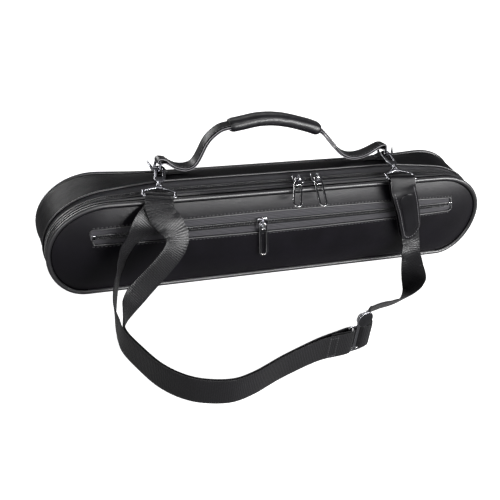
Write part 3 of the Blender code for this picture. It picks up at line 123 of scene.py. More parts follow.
GLIDE_DISC_RADIUS, GLIDE_DISC_THICKNESS, GLIDE_CENTRE_BAR = 0.0078, 0.0018, 0.0028
GLIDE_PLACE, GLIDE_TURN = (0.0262, -0.1522, 0.0153), math.radians(10)
GLIDE_LOBE, GLIDE_LOBE_RADIUS, GLIDE_SLOT_ROOM, GLIDE_SLOT_CORNER = (0.0040, 0.0206), 0.0070, 0.0007, 0.0008
SINGLE_START, TAB_WEBBING_POINTS, STRAP_STEPS, FOLD_STEPS, HANDLE_STEPS = 0.0025, 7, 2, 6, 2
TOP_STEPS, CORNER_STEPS = 64, 14
DOME_SHARES = (0.0, 0.10, 0.24, 0.45, 0.86)
UP, LEVEL = Vector((0, 0, 1)), Vector((0, 1, 0))

# Trim that only the looks have: how a strap thins at its edge, the handle's paint line, its stitches, the teeth, and
# how square to a plate's face a metal face must be to stay out of the painted highlight on turned edges
EDGE_THINNING, EDGE_SHARE, EDGE_SHOWS, BELT_STITCH_INSET, BELT_PITCH = 0.45, 0.62, 0.0005, 0.0018, 0.0034
TEETH_RADIUS, TEETH_MARGIN, MAIN_TEETH_PITCH, POCKET_TEETH_PITCH, HIGHLIGHT_RIM_COSINE = 0.00060, 0.002, 0.00135, 0.0015, 0.94
# The stitches and the raised panel of the strap's leather end
TAB_STITCH_START, TAB_STITCH_PITCH, TAB_PANEL_WIDTH, TAB_PANEL_THICKNESS = 0.0105, 0.0032, 0.0150, 0.0011

# The strap's route, the weave through its slider and the handle's middle line, repeated from the part's source
OUTER_STRAND = (
    ((-0.1236, -0.0328, 0.0970), (-0.97, 0.24, 0.0)), ((-0.1240, -0.0348, 0.0915), (-0.98, 0.20, 0.0)),
    ((-0.1285, -0.0368, 0.0840), (-0.98, 0.12, -0.08)), ((-0.1368, -0.0392, 0.0765), (-0.93, -0.15, -0.25)),
    ((-0.1450, -0.0418, 0.0680), (-0.86, -0.40, -0.25)), ((-0.1527, -0.0448, 0.0590), (-0.75, -0.62, -0.10)),
    ((-0.1576, -0.0490, 0.0500), (-0.55, -0.80, 0.0)), ((-0.1616, -0.0555, 0.0405), (-0.42, -0.90, 0.10)),
    ((-0.1660, -0.0640, 0.0300), (-0.30, -0.65, 0.50)), ((-0.1688, -0.0735, 0.0212), (-0.20, -0.35, 0.80)),
    ((-0.1702, -0.0840, 0.0150), (-0.10, -0.10, 0.98)), ((-0.1706, -0.0970, 0.0125), (0.0, 0.0, 1.0)))
INNER_STRAND = (
    ((-0.1246, -0.0378, 0.0970), (-0.97, 0.24, 0.0)), ((-0.1240, -0.0399, 0.0915), (-0.98, 0.20, 0.0)),
    ((-0.1206, -0.0418, 0.0845), (-0.98, 0.10, 0.10)), ((-0.1145, -0.0435, 0.0770), (-0.96, 0.10, 0.15)),
    ((-0.1100, -0.0476, 0.0695), (-0.93, 0.28, 0.05)), ((-0.1105, -0.0525, 0.0625), (-0.86, 0.42, 0.05)),
    ((-0.1150, -0.0567, 0.0560), (-0.76, 0.54, 0.25)), ((-0.1215, -0.0602, 0.0500), (-0.70, 0.58, 0.38)),
    ((-0.1290, -0.0637, 0.0438), (-0.64, 0.62, 0.45)), ((-0.1372, -0.0668, 0.0372), (-0.58, 0.60, 0.54)),
    ((-0.1455, -0.0702, 0.0305), (-0.46, 0.52, 0.70)), ((-0.1535, -0.0745, 0.0240), (-0.30, 0.38, 0.85)),
    ((-0.1605, -0.0815, 0.0185), (-0.15, 0.20, 0.95)), ((-0.1650, -0.0910, 0.0145), (0.0, 0.0, 1.0)),
    ((-0.1672, -0.1015, 0.0125), (0.0, 0.0, 1.0)))
GROUND_RUN = (
    (-0.1693, -0.1120, 0.0125), (-0.1613, -0.1364, 0.0125), (-0.1505, -0.1593, 0.0125), (-0.1380, -0.1738, 0.0125),
    (-0.1241, -0.1827, 0.0125), (-0.1007, -0.1881, 0.0125), (-0.0822, -0.1843, 0.0125), (-0.0505, -0.1710, 0.0128))
SINGLE_STRETCH = (
    ((0.0440, -0.1430, 0.0148), (0.0, 0.0, 1.0)), ((0.0466, -0.1320, 0.0138), (0.10, -0.20, 0.97)),
    ((0.0515, -0.1215, 0.0124), (0.20, -0.35, 0.92)), ((0.0640, -0.1145, 0.0120), (0.25, -0.45, 0.85)),
    ((0.0780, -0.1115, 0.0118), (0.29, -0.53, 0.80)), ((0.0920, -0.1090, 0.0118), (0.29, -0.53, 0.80)),
    ((0.1040, -0.1045, 0.0115), (0.42, -0.45, 0.78)), ((0.1140, -0.0970, 0.0105), (0.62, -0.30, 0.70)),
    ((0.1225, -0.0870, 0.0105), (0.80, 0.0, 0.55)), ((0.1290, -0.0740, 0.0125), (0.90, 0.25, 0.25)),
    ((0.1345, -0.0600, 0.0165), (0.93, 0.35, 0.05)), ((0.1378, -0.0490, 0.0225), (0.94, 0.34, 0.0)),
    ((0.1384, -0.0438, 0.0300), (0.95, 0.30, 0.0)))
END_TAB_LINE = (
    ((0.1366, -0.0428, 0.0360), (0.95, 0.30, 0.0)), ((0.1335, -0.0424, 0.0460), (0.95, 0.25, 0.0)),
    ((0.1285, -0.0428, 0.0590), (0.96, 0.20, 0.0)), ((0.1225, -0.0433, 0.0740), (0.97, 0.12, 0.0)),
    ((0.1165, -0.0430, 0.0870), (0.98, 0.0, 0.0)), ((0.1135, -0.0408, 0.0955), (0.99, -0.11, 0.0)))

# The weave through the strap slider, in shares of its length along and of a layer's step out from its middle
WEAVE_OUTER_SHARES = ((-1.95, 1.25), (-1.45, 1.30), (-1.0, 1.85), (-0.62, 2.22), (-0.48, 2.22), (-0.362, 2.08),
                      (-0.252, 1.20), (-0.176, 0.0), (-0.105, -0.84), (0.0, -1.08), (0.105, -0.84), (0.176, 0.0),
                      (0.257, 0.84), (0.362, 1.08), (0.50, 1.08), (0.575, 0.82))
WEAVE_INNER_SHARES = ((-1.95, -0.25), (-1.45, -0.70), (-1.0, -0.95), (-0.72, -1.20), (-0.57, -1.26))
WEAVE_RETURN_SHARES = ((-0.57, 1.26), (-0.72, 1.15), (-1.0, 0.58), (-1.35, 0.30))

# The handle's middle line, in shares of its half span and of its rise
HANDLE_SHARES = (
    (-0.991, 0.158), (-0.946, 0.092), (-0.902, 0.031), (-0.857, 0.004), (-0.8125, 0.0), (-0.768, 0.031),
    (-0.735, 0.107), (-0.703, 0.270), (-0.670, 0.491), (-0.639, 0.634), (-0.589, 0.768), (-0.536, 0.855),
    (-0.402, 0.917), (-0.3125, 0.960), (-0.232, 0.993), (-0.143, 1.0), (-0.054, 0.982), (0.036, 0.940),
    (0.129, 0.877), (0.223, 0.806), (0.304, 0.730), (0.357, 0.665), (0.433, 0.498), (0.518, 0.270),
    (0.592, 0.107), (0.663, 0.022), (0.741, 0.0), (0.8125, 0.031), (0.884, 0.098), (0.942, 0.165), (0.982, 0.180))
BLEND_SPANS = (((0, 1), (1, 2), (2, 3)), ((0, 2), (1, 3)), ((1, 2),))


# Places on the bag, repeated from the part's source

def clamp(value, low, high):
    return max(low, min(high, value))


def front(depth):
    """The y of a plane that lies this far behind the front piping's middle."""
    return depth - DEPTH / 2


def crown_share(x):
    """1 along the middle of the bag, fading to 0 towards its ends."""
    share = clamp((abs(x) - CROWN_FLAT_HALF) / (CROWN_END - CROWN_FLAT_HALF), 0.0, 1.0)
    return (1 + math.cos(math.pi * share)) / 2


def hump(share):
    """0 at both ends and 1 at a third of the way."""
    return 729 / 16 * share ** 2 * (1 - share) ** 4


def shoulder(share):
    """Rises like hump to a third of the way, then stays full and falls late, towards the back."""
    past = max(0.0, (share - 1 / 3) * 3 / 2)
    return 1 - past ** TOP_SHOULDER_POWER if past > 0 else hump(share)


def bow_share(y):
    """How much of the seam's bow a place takes: level under the zipper's teeth, all of it at the rear seam."""
    teeth = SLIDER_WIDTH / 2 + FIT
    stations = ((front(FRONT_PIPING_RADIUS), 0.0), (front(PART_LINE - teeth), TEETH_BOW_SHARE),
                (front(PART_LINE + teeth), TEETH_BOW_SHARE), (front(REAR_SEAM_DEPTH), 1.0),
                (DEPTH / 2 - 2 * REAR_PIPING_RADIUS, 0.0))
    if y <= stations[0][0] or y >= stations[-1][0]:
        return 0.0
    for (low, first), (high, second) in zip(stations, stations[1:]):
        if y <= high:
            return first + (second - first) * (y - low) / (high - low)


def settled(x, y, z, at=None):
    """The top wall's crown, its sag at the back and the seam's bow, as the filled bag takes them.

    A face behind or before the top wall passes its edge's y as at, and moves with that edge.
    """
    across = DEPTH - FRONT_PIPING_RADIUS - 2 * REAR_PIPING_RADIUS
    share = clamp(((y if at is None else at) - front(FRONT_PIPING_RADIUS)) / across, 0.0, 1.0)
    rise = max(0.0, (z - CROWN_FOOT_HEIGHT) / (HEIGHT - CROWN_FOOT_HEIGHT)) * crown_share(x)
    lift = (shoulder(share) * TOP_CROWN - share * TOP_BACK_SAG) * rise
    bow = bow_share(y) * SEAM_BOW * rise if at is None else 0.0
    return Vector((x, y + bow, z + lift))


def top_z(x, y, inset=WALL_INSET):
    """Height of the top wall's outside at a place seen from above."""
    guess = y
    for _ in range(12):
        guess += y - settled(x, guess, HEIGHT - inset).y
    return settled(x, guess, HEIGHT - inset).z


def quarter(centre_x, radius_x, radius_z, start, stop):
    """Points of an elliptical corner about the waist."""
    for step in range(CORNER_STEPS + 1):
        angle = math.radians(start + (stop - start) * step / CORNER_STEPS)
        yield centre_x + radius_x * math.cos(angle), WAIST_HEIGHT + radius_z * math.sin(angle)


def outline(inset):
    """The bag's outline (x, z) drawn in by inset: up the right end, over the top, down the left end."""
    top_x = LENGTH / 2 - TOP_END_RADIUS
    bottom_x = LENGTH / 2 - BOTTOM_END_RADIUS
    top = (TOP_END_RADIUS - inset, HEIGHT - WAIST_HEIGHT - inset)
    bottom = (BOTTOM_END_RADIUS - inset, WAIST_HEIGHT - inset)
    points = list(quarter(bottom_x, *bottom, -90, 0))
    points += list(quarter(top_x, *top, 0, 90))[1:]
    for step in range(1, TOP_STEPS):
        points.append((top_x - 2 * top_x * step / TOP_STEPS, HEIGHT - inset))
    points += list(quarter(-top_x, *top, 90, 180))
    points += list(quarter(-bottom_x, *bottom, 180, 270))[1:]
    return points


def ring(inset, y, share=0.0, at=None):
    """A closed ring of points: the outline drawn in, then shrunk by share towards the panel's spine."""
    spine_x = LENGTH / 2 - TOP_END_RADIUS
    points = []
    for x, z in outline(inset):
        foot = clamp(x, -spine_x, spine_x)
        height = WAIST_HEIGHT + (z - WAIST_HEIGHT) * (1 - share)
        points.append(settled(foot + (x - foot) * (1 - share), y, height, at))
    return points


def outline_gauge(x, z, inset):
    """1 on the outline drawn in by inset, less inside it."""
    upper = z > WAIST_HEIGHT
    end = TOP_END_RADIUS if upper else BOTTOM_END_RADIUS
    reach = (HEIGHT - WAIST_HEIGHT if upper else WAIST_HEIGHT) - inset
    across = max(0.0, abs(x) - (LENGTH / 2 - end)) / (end - inset)
    return math.hypot(across, (z - WAIST_HEIGHT) / reach)


def panel_share(x, z, inset):
    """How far in from the panel's edge a place is: 0 on the edge, 1 on the spine."""
    spine_x = LENGTH / 2 - TOP_END_RADIUS
    foot = clamp(x, -spine_x, spine_x)
    low, high = 0.0, 1.0
    for _ in range(40):
        middle = (low + high) / 2
        scale = 1 / max(middle, FIT)
        grown = outline_gauge(foot + (x - foot) * scale, WAIST_HEIGHT + (z - WAIST_HEIGHT) * scale, inset)
        low, high = (middle, high) if grown > 1 else (low, middle)
    return 1 - high


def bulge(share):
    return 1 - (1 - share) ** BULGE_POWER


def smooth_route(points, steps):
    """A smooth curve through the route's own points, without loops where they lie close together."""
    points = [Vector(point) for point in points]
    ends = [2 * points[0] - points[1], *points, 2 * points[-1] - points[-2]]
    route = []
    for corners in zip(ends, ends[1:], ends[2:], ends[3:]):
        times = [0.0]
        for first, second in zip(corners, corners[1:]):
            times.append(times[-1] + math.sqrt((second - first).length))
        for step in range(steps):
            moment = times[1] + (times[2] - times[1]) * step / steps
            layer = corners
            for spans in BLEND_SPANS:
                layer = [layer[i].lerp(layer[i + 1], (moment - times[low]) / (times[high] - times[low]))
                         for i, (low, high) in enumerate(spans)]
            route.append(layer[0])
    route.append(points[-1])
    return route


def blended_sides(sides, steps):
    """Width directions for a smooth route, blended straight from point to point."""
    sides = [Vector(side) for side in sides]
    blended = [low.lerp(high, step / steps) for low, high in zip(sides, sides[1:]) for step in range(steps)]
    return blended + [sides[-1]]


def rounded_box(half_u, half_v, radius, middle=(0.0, 0.0), steps=3):
    """A rectangle with round corners, as points (u, v)."""
    points = []
    for corner, (a, b) in enumerate(((1, 1), (-1, 1), (-1, -1), (1, -1))):
        for step in range(steps + 1):
            angle = math.pi / 2 * (corner + step / steps)
            points.append((middle[0] + a * (half_u - radius) + radius * math.cos(angle),
                           middle[1] + b * (half_v - radius) + radius * math.sin(angle)))
    return points


def on_front(u, v, w):
    return Vector((u, front(0.0) + w, v))


def pocket_half(x):
    """Half the pocket mouth's height, widest in the middle."""
    share = clamp(abs(x) / POCKET_HALF_LENGTH, 0.0, 1.0)
    return POCKET_MIDDLE_HALF + (POCKET_END_HALF - POCKET_MIDDLE_HALF) * share ** 2


class Frame:
    """A place with its own directions: u along the zipper, v across it and w out of it."""

    def __init__(self, origin, u, v):
        self.origin = Vector(origin)
        self.u = Vector(u).normalized()
        self.w = self.u.cross(Vector(v)).normalized()
        self.v = self.w.cross(self.u)

    def __call__(self, u, v, w):
        return self.origin + self.u * u + self.v * v + self.w * w


def pull_direction(pivot):
    """The way a pull points when it rests on the front piping."""
    piping = Vector((0, front(0.0), HEIGHT - FRONT_PIPING_RADIUS))
    away = Vector((0, piping.y - pivot.y, piping.z - pivot.z))
    clear = FRONT_PIPING_RADIUS + PULL_THICKNESS / 2 + FIT
    angle = math.atan2(-away.z, -away.y) - math.asin(clear / away.length)
    return Vector((0, -math.cos(angle), -math.sin(angle)))


def across_top():
    """The direction across the top wall where the handle is sewn: level at the front, lower at the back."""
    return Vector((0, math.cos(TOP_TILT), -math.sin(TOP_TILT)))


def ring_frame(side):
    """The ring's own directions at the middle of its lower bar: u across the strap, v up the ring."""
    x = RING_PLACES[side]
    lean = RING_LEANS[side]
    inward = 1 if side == "left" else -1
    level = top_z(x, HANDLE_Y) + (2 * FIT + TAB_LEATHER + RING_WIRE) / math.cos(TOP_TILT)
    up = Vector((inward * math.sin(lean), math.cos(lean) * math.sin(TOP_TILT), math.cos(lean) * math.cos(TOP_TILT)))
    return Frame((x, HANDLE_Y, level), across_top(), up)


def heading(points, i):
    """The direction of a line of points at one of them."""
    return (points[min(i + 1, len(points) - 1)] - points[max(i - 1, 0)]).normalized()


def spread(close, wide, share):
    """A soft step from close to wide."""
    return close + (wide - close) * share * share * (3 - 2 * share)


def fold(line, sides, bar_radius, thickness, gap, fade, upper_length=None):
    """A strap doubled round a bar at the line's end: out along one side, round the bar and back along the other.

    Away from the bar the layers lie a gap apart; upper_length cuts the first layer short.
    """
    centre = line[-1]
    close = (thickness + gap) / 2
    wide = bar_radius + FIT + thickness / 2
    upper, lower, across = [], [], []
    clear = [i for i in range(len(line) - 1) if (line[i] - centre).length > FOLD_CLEAR_SHARE * wide]
    for i in clear:
        out = sides[i].cross(heading(line, i)).normalized()
        share = clamp(1 - (line[i] - centre).length / fade, 0.0, 1.0)
        reach = spread(close, wide, share)
        upper.append(line[i] + out * reach)
        lower.append(line[i] - out * reach)
        across.append(sides[i])
    along = (centre - line[clear[-1]]).normalized()
    out = sides[-1].cross(along).normalized()
    first = 0
    if upper_length is not None:
        first = next(i for i, point in enumerate(line) if (point - centre).length < upper_length)
    turn = []
    for step in range(FOLD_STEPS + 1):
        angle = math.pi * step / FOLD_STEPS
        turn.append(centre + out * wide * math.cos(angle) + along * wide * math.sin(angle))
    route = upper[first:] + turn + lower[::-1]
    return route, across[first:] + [sides[-1]] * len(turn) + across[::-1]


def beside_ring(share):
    """0 over the handle's arch and 1 beside its rings, by share of its half span."""
    return clamp((abs(share) - HANDLE_TILT_SHARE) / (1 - HANDLE_TILT_SHARE), 0.0, 1.0)


def handle_side(point):
    """Across the handle: level over the arch, tilted with the top wall beside the rings."""
    share = beside_ring((point.x - HANDLE_MIDDLE) / HANDLE_HALF_SPAN)
    return (LEVEL * (1 - share) + across_top() * share).normalized()


def hook_frame(side):
    """The hook's directions at the middle of its bowl: u towards the strap, v outboard."""
    ring = ring_frame(side)
    eye = Vector(EYE_PLACES[side])
    leg = ring(-RING_WIDTH / 2, HOOK_HEIGHT, 0)
    along = (eye - leg).normalized()
    outboard = Vector((-1 if side == "left" else 1, 0, 0))
    return Frame(leg - along * HOOK_BACK, along, outboard)


def mirrored(points, across):
    """Points (u, v) in reverse, on the other side of u = 0 or, where across is -1, of v = 0."""
    return [(-u, v) if across > 0 else (u, -v) for u, v in reversed(points)]


def arc(centre, radius, start, stop, steps):
    """Points (u, v) along an arc, its angles in radians."""
    return [(centre[0] + radius * math.cos(start + (stop - start) * step / steps),
             centre[1] + radius * math.sin(start + (stop - start) * step / steps)) for step in range(steps + 1)]


def bar_reach(width, thickness):
    """How far a square bar's corners lie from its middle."""
    return math.hypot(width, thickness) / 2


def end_tab_line():
    """The leather end's middle line and width directions, from its round end up to the eye's bar."""
    ends = [Vector(point) for point, _ in END_TAB_LINE]
    low = ends[0] + (ends[1] - ends[0]).normalized() * END_TAB_ROUND
    route = smooth_route([ends[0], low, *ends[1:], EYE_PLACES["right"]], STRAP_STEPS)
    sides = [END_TAB_LINE[0][1], *(side for _, side in END_TAB_LINE), hook_frame("right").v]
    return route, blended_sides(sides, STRAP_STEPS)


def glide_frame():
    turned = Vector((math.cos(GLIDE_TURN), math.sin(GLIDE_TURN), 0))
    return Frame(GLIDE_PLACE, turned, (0, 0, 1))


def weave(shares):
    """Places in the slider from shares of its length and of a layer's step out from its middle."""
    frame = glide_frame()
    step = GLIDE_THICKNESS / 2 + FIT + STRAP_THICKNESS / 2
    return [frame(u * GLIDE_LENGTH, 0, w * step) for u, w in shares]


def ground_layer(sign):
    """One layer of the doubled run along the ground, out to one side of its middle line."""
    line = [Vector(point) for point in GROUND_RUN]
    layer = []
    for i, point in enumerate(line):
        out = heading(line, i).cross(UP)
        layer.append(point + out * sign * (STRAP_THICKNESS + STRAP_LAYER_GAP) / 2)
    return layer


def over_eye(start, stop):
    """The webbing's turn over the left hook's eye bar, by angle from the bar's front."""
    frame = hook_frame("left")
    bar = Vector(EYE_PLACES["left"])
    radius = bar_reach(EYE_WIRE, EYE_THICKNESS) + FIT + STRAP_THICKNESS / 2
    points = []
    for step in range(FOLD_STEPS):
        angle = start + (stop - start) * step / (FOLD_STEPS - 1)
        points.append(bar + frame.u * radius * math.cos(angle) + UP * radius * math.sin(angle))
    return points


def handle_line():
    """The handle's middle line as it stands, from the left ring's upper bar to the right one's."""
    left = ring_frame("left")(0, RING_HEIGHT, 0)
    right = ring_frame("right")(0, RING_HEIGHT, 0)
    points = []
    for x, z in HANDLE_SHARES:
        bar = left if x < 0 else right
        y = HANDLE_Y + (bar.y - HANDLE_Y) * beside_ring(x)
        points.append(Vector((HANDLE_MIDDLE + x * HANDLE_HALF_SPAN, y, HANDLE_AXIS_Z + z * HANDLE_RISE)))
    return smooth_route([left, *points, right], HANDLE_STEPS)


# Materials

class Socket:
    """A node's output that can be added to and multiplied, which makes the nodes for it."""

    def __init__(self, maker, output):
        self.maker, self.output = maker, output

    def __add__(self, other):
        return self.maker.math('ADD', self, other)

    def __mul__(self, other):
        return self.maker.math('MULTIPLY', self, other)


class Maker:
    """Makes one material's nodes."""

    def __init__(self, name, colour, roughness, metallic=0.0, **sockets):
        self.material = bpy.data.materials.new(name)
        self.material.use_nodes = True
        self.tree = self.material.node_tree
        self.shader = self.tree.nodes["Principled BSDF"]
        self.put("Base Color", (*colour, 1.0))
        self.put("Roughness", roughness)
        self.put("Metallic", metallic)
        for key, value in sockets.items():
            self.put(key.replace("_", " "), value)

    def fill(self, socket, value):
        """Links a socket to another node's output, or sets its plain value."""
        if isinstance(value, Socket):
            self.tree.links.new(value.output, socket)
        else:
            socket.default_value = value

    def put(self, key, value):
        self.fill(self.shader.inputs[key], value)

    def node(self, kind, output=0, settings=(), **inputs):
        made = self.tree.nodes.new("ShaderNode" + kind)
        for key, value in dict(settings).items():
            setattr(made, key, value)
        for key, value in inputs.items():
            self.fill(made.inputs[int(key[1:]) if key[1:].isdigit() else key], value)
        return Socket(self, made.outputs[output])

    def math(self, operation, first, second=0.0):
        return self.node("Math", settings={"operation": operation}, i0=first, i1=second)

    def place(self):
        return self.node("TexCoord", "Object")

    def weave_place(self):
        return self.node("UVMap", settings={"uv_map": "along"})

    def parts(self, vector):
        made = self.tree.nodes.new("ShaderNodeSeparateXYZ")
        self.tree.links.new(vector.output, made.inputs[0])
        return [Socket(self, out) for out in made.outputs]

    def noise(self, scale, detail=3.0, roughness=0.5):
        return self.node("TexNoise", "Fac", Vector=self.place(), Scale=scale, Detail=detail, Roughness=roughness)

    def cells(self, scale):
        return self.node("TexVoronoi", "Distance", Vector=self.place(), Scale=scale)

    def blend(self, share, low, high):
        made = self.tree.nodes.new("ShaderNodeMix")
        made.data_type = 'RGBA'
        for index, value in ((0, share), (6, low), (7, high)):
            self.fill(made.inputs[index], (*value, 1.0) if isinstance(value, tuple) else value)
        return Socket(self, made.outputs[2])

    def range(self, value, low, high, new_low=0.0, new_high=1.0):
        return self.node("MapRange", i0=value, i1=low, i2=high, i3=new_low, i4=new_high)

    def bump(self, height, distance, **under):
        """A bump of this depth in metres, laid over another one given as Normal."""
        return self.node("Bump", Height=height, Distance=distance, Strength=1.0, **under)


def scaled(colour, share):
    """A colour made lighter or darker."""
    return tuple(min(1.0, value * share) for value in colour)


def wave(made, place, pitch):
    """Ribs this far apart along one direction of a band's map."""
    return made.math('SINE', place * (2 * math.pi / pitch))


def leather(name, colour, roughness, grain=1.0, crease=1.0, gloss=0.5):
    made = Maker(name, colour, roughness, Specular_IOR_Level=gloss)
    pebble = made.cells(1150.0)
    fine = made.noise(2600.0, 2.0)
    broad = made.noise(38.0, 3.0)
    wrinkle = made.noise(120.0, 5.0, 0.6)
    shade = made.range(broad, 0.35, 0.65, 0.0, 1.0)
    lighter = scaled(colour, 1.6)
    made.put("Base Color", made.blend(shade, colour, lighter))
    made.put("Roughness", made.range(pebble + broad * 0.6, 0.2, 1.0, roughness - 0.07, roughness + 0.09))
    low = made.bump(broad + wrinkle * 0.25, 0.0012 * crease)
    made.put("Normal", made.bump(pebble * 0.8 + fine * 0.3, 0.00007 * grain, Normal=low))
    return made.material


def webbing_cloth(name, colour, pitch, roughness):
    """Woven ribs across a band, from its own along-and-across map in metres."""
    made = Maker(name, colour, roughness, Specular_IOR_Level=0.42, Sheen_Weight=0.02)
    along, across, _ = made.parts(made.weave_place())
    ribs, threads = wave(made, along, pitch), wave(made, across, pitch * 0.62)
    twill = wave(made, along + across, pitch * 2.6)
    spread = made.noise(55.0, 4.0)
    lift = ribs * 0.5 + threads * 0.22 + twill * 0.16
    lighter = scaled(colour, 1.9)
    woven = made.range(lift * 0.5 + spread, 0.1, 0.95)
    made.put("Base Color", made.blend(woven, scaled(colour, 0.6), lighter))
    made.put("Roughness", made.range(lift, -0.8, 0.8, roughness + 0.12, roughness - 0.08))
    made.put("Normal", made.bump(lift + spread * 0.5, 0.00011))
    return made.material


def tape_cloth(name, colour):
    """Zipper tape: fine ribs that run along the tape."""
    made = Maker(name, colour, 0.50, Specular_IOR_Level=0.33, Sheen_Weight=0.1)
    along, across, _ = made.parts(made.weave_place())
    ribs, weft = wave(made, across, 0.0011), wave(made, along, 0.0007)
    lift = ribs * 0.6 + weft * 0.2
    lighter = scaled(colour, 2.2)
    made.put("Base Color", made.blend(made.range(lift, -0.7, 0.7), scaled(colour, 0.55), lighter))
    made.put("Normal", made.bump(lift, 0.00018))
    return made.material


def metal(name, colour, roughness, worn=0.05, rim=None):
    """Plated metal; rim is a painted highlight colour on the turned edges, which plates mark with their own attribute.
    """
    made = Maker(name, colour, roughness, 1.0)
    cloud = made.noise(90.0, 4.0)
    scratch = made.noise(900.0, 2.0)
    lighter = scaled(colour, 1.35)
    face = made.blend(made.range(cloud, 0.35, 0.65), colour, lighter)
    # painted highlight: the turned edges marked rim get the brighter rim colour
    edge = made.node("Attribute", "Fac", settings={"attribute_name": "rim"})
    made.put("Base Color", made.blend(edge, face, rim) if rim else face)
    made.put("Roughness", made.range(cloud + scratch * 0.3, 0.3, 0.9, roughness - worn, roughness + worn))
    made.put("Normal", made.bump(scratch, 0.00001))
    return made.material


def plain_cloth(name, colour, scale, depth):
    made = Maker(name, colour, 0.85, Sheen_Weight=0.3)
    fuzz = made.noise(scale, 4.0, 0.65)
    broad = made.noise(30.0, 3.0)
    lighter = scaled(colour, 1.6)
    made.put("Base Color", made.blend(made.range(fuzz + broad, 0.7, 1.3), scaled(colour, 0.7), lighter))
    made.put("Normal", made.bump(fuzz, depth))
    return made.material


def foam_stuff(name, colour):
    made = Maker(name, colour, 0.9)
    pores = made.cells(1500.0)
    made.put("Base Color", made.blend(made.range(pores, 0.1, 0.6), scaled(colour, 0.6), colour))
    made.put("Normal", made.bump(pores, 0.0003))
    return made.material


def painted_edge(name, colour):
    made = Maker(name, colour, 0.32, Coat_Weight=0.2)
    cloud = made.noise(160.0, 3.0)
    made.put("Base Color", made.blend(made.range(cloud, 0.35, 0.65), scaled(colour, 0.72), colour))
    made.put("Normal", made.bump(cloud, 0.00012))
    return made.material


def thread(name, colour):
    made = Maker(name, colour, 0.5, Sheen_Weight=0.3)
    twist = made.noise(1500.0, 2.0)
    made.put("Base Color", made.blend(made.range(twist, 0.3, 0.7), scaled(colour, 0.6), colour))
    made.put("Normal", made.bump(twist, 0.00005))
    return made.material


PANEL = leather("panel_leather", (0.0019, 0.0015, 0.0028), 0.33, 0.8, 0.3, 0.25)
PIPE = leather("piping_leather", (0.0035, 0.0032, 0.0045), 0.33, 0.25, 0.1, 1.0)
GUSSET = leather("gusset_leather", (0.0018, 0.0016, 0.0023), 0.42, 1.0, 0.7, 0.06)
# the front band is the gusset's leather made lighter: painted light for the light that falls on its upturned face
LIT_BAND = leather("band_leather_lit", (0.0088, 0.0080, 0.0106), 0.34, 0.5, 0.3, 1.0)
STRAP_LEATHER = leather("strap_leather", (0.0028, 0.0026, 0.0036), 0.32, 0.9, 0.4, 0.18)
GRIP = leather("grip_leather", (0.0035, 0.0032, 0.0046), 0.30, 1.0, 0.8, 0.56)
EDGE = painted_edge("painted_edge", (0.2560, 0.2480, 0.2640))
EDGE_DARK = painted_edge("dark_edge", (0.0320, 0.0304, 0.0336))
WEBBING = webbing_cloth("strap_webbing", (0.0035, 0.0033, 0.0042), 0.0018, 0.32)
ZIP_TAPE = tape_cloth("zip_tape", (0.0232, 0.0224, 0.0264))
TEETH = painted_edge("zip_teeth", (0.0120, 0.0120, 0.0136))
# each metal's rim colour is a painted highlight on its plates' turned edges
GUNMETAL = metal("gunmetal_bright", (0.17, 0.17, 0.185), 0.16, rim=(0.95, 0.95, 0.98))
PULL_METAL = metal("pull_metal", (0.08, 0.08, 0.09), 0.20, rim=(1.0, 1.0, 1.0))
DARK_METAL = metal("dark_metal", (0.08, 0.08, 0.09), 0.18, rim=(0.65, 0.65, 0.69))
DISC_METAL = metal("disc_metal", (0.05, 0.05, 0.055), 0.28, rim=(0.38, 0.38, 0.41))
LINING_CLOTH = plain_cloth("soft_lining", (0.0320, 0.0320, 0.0384), 1900.0, 0.00025)
FOAM_STUFF = foam_stuff("grey_foam_cells", (0.3200, 0.3200, 0.3360))
THREAD = thread("seam_thread", (0.0480, 0.0464, 0.0528))
DARK_THREAD = thread("mouth_thread", (0.0064, 0.0064, 0.0080))
# near-black seam lines that also stand in as painted shade in the grooves beside the front piping
SEAM_GROOVE_SHADE = leather("seam_groove_shade", (0.0013, 0.0013, 0.0016), 0.8, 1.0, 0.2, 0.02)
BRIGHT_THREAD = thread("bright_thread", (0.1360, 0.1312, 0.1440))

# The slot that each material stands for
SLOTS = {look: slot for slot, made_of in (
    ("black_leather", (PANEL, PIPE, GUSSET, LIT_BAND, STRAP_LEATHER, GRIP, EDGE, EDGE_DARK, SEAM_GROOVE_SHADE, THREAD, DARK_THREAD,
                       BRIGHT_THREAD)),
    ("black_webbing", (WEBBING, ZIP_TAPE, TEETH)),
    ("gunmetal", (GUNMETAL, PULL_METAL, DARK_METAL, DISC_METAL)),
    ("dark_lining", (LINING_CLOTH,)), ("grey_foam", (FOAM_STUFF,))) for look in made_of}


# Mesh building

def finish_mesh(name, bm, look, body, angle=38, bevel=0.0, steps=2, slot=None):
    """Makes an object of a bmesh, faces outwards, with its bevel applied, riding on a body."""
    bmesh.ops.recalc_face_normals(bm, faces=bm.faces)
    if bm.calc_volume(signed=True) < 0:
        bmesh.ops.reverse_faces(bm, faces=bm.faces)
    mesh = bpy.data.meshes.new(name)
    bm.to_mesh(mesh)
    bm.free()
    made = bpy.data.objects.new(name, mesh)
    bpy.context.scene.collection.objects.link(made)
    if bevel:
        step = made.modifiers.new("rounding", 'BEVEL')
        step.width = bevel
        step.segments = steps
        step.limit_method = 'ANGLE'
        step.angle_limit = math.radians(30)
        apply_steps(made)
    made.data.shade_smooth()
    made.data.set_sharp_from_angle(angle=math.radians(angle))
    made.data.materials.clear()
    made.data.materials.append(look)
    slot = slot or SLOTS[look]
    if body:
        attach(made, body)
    return made


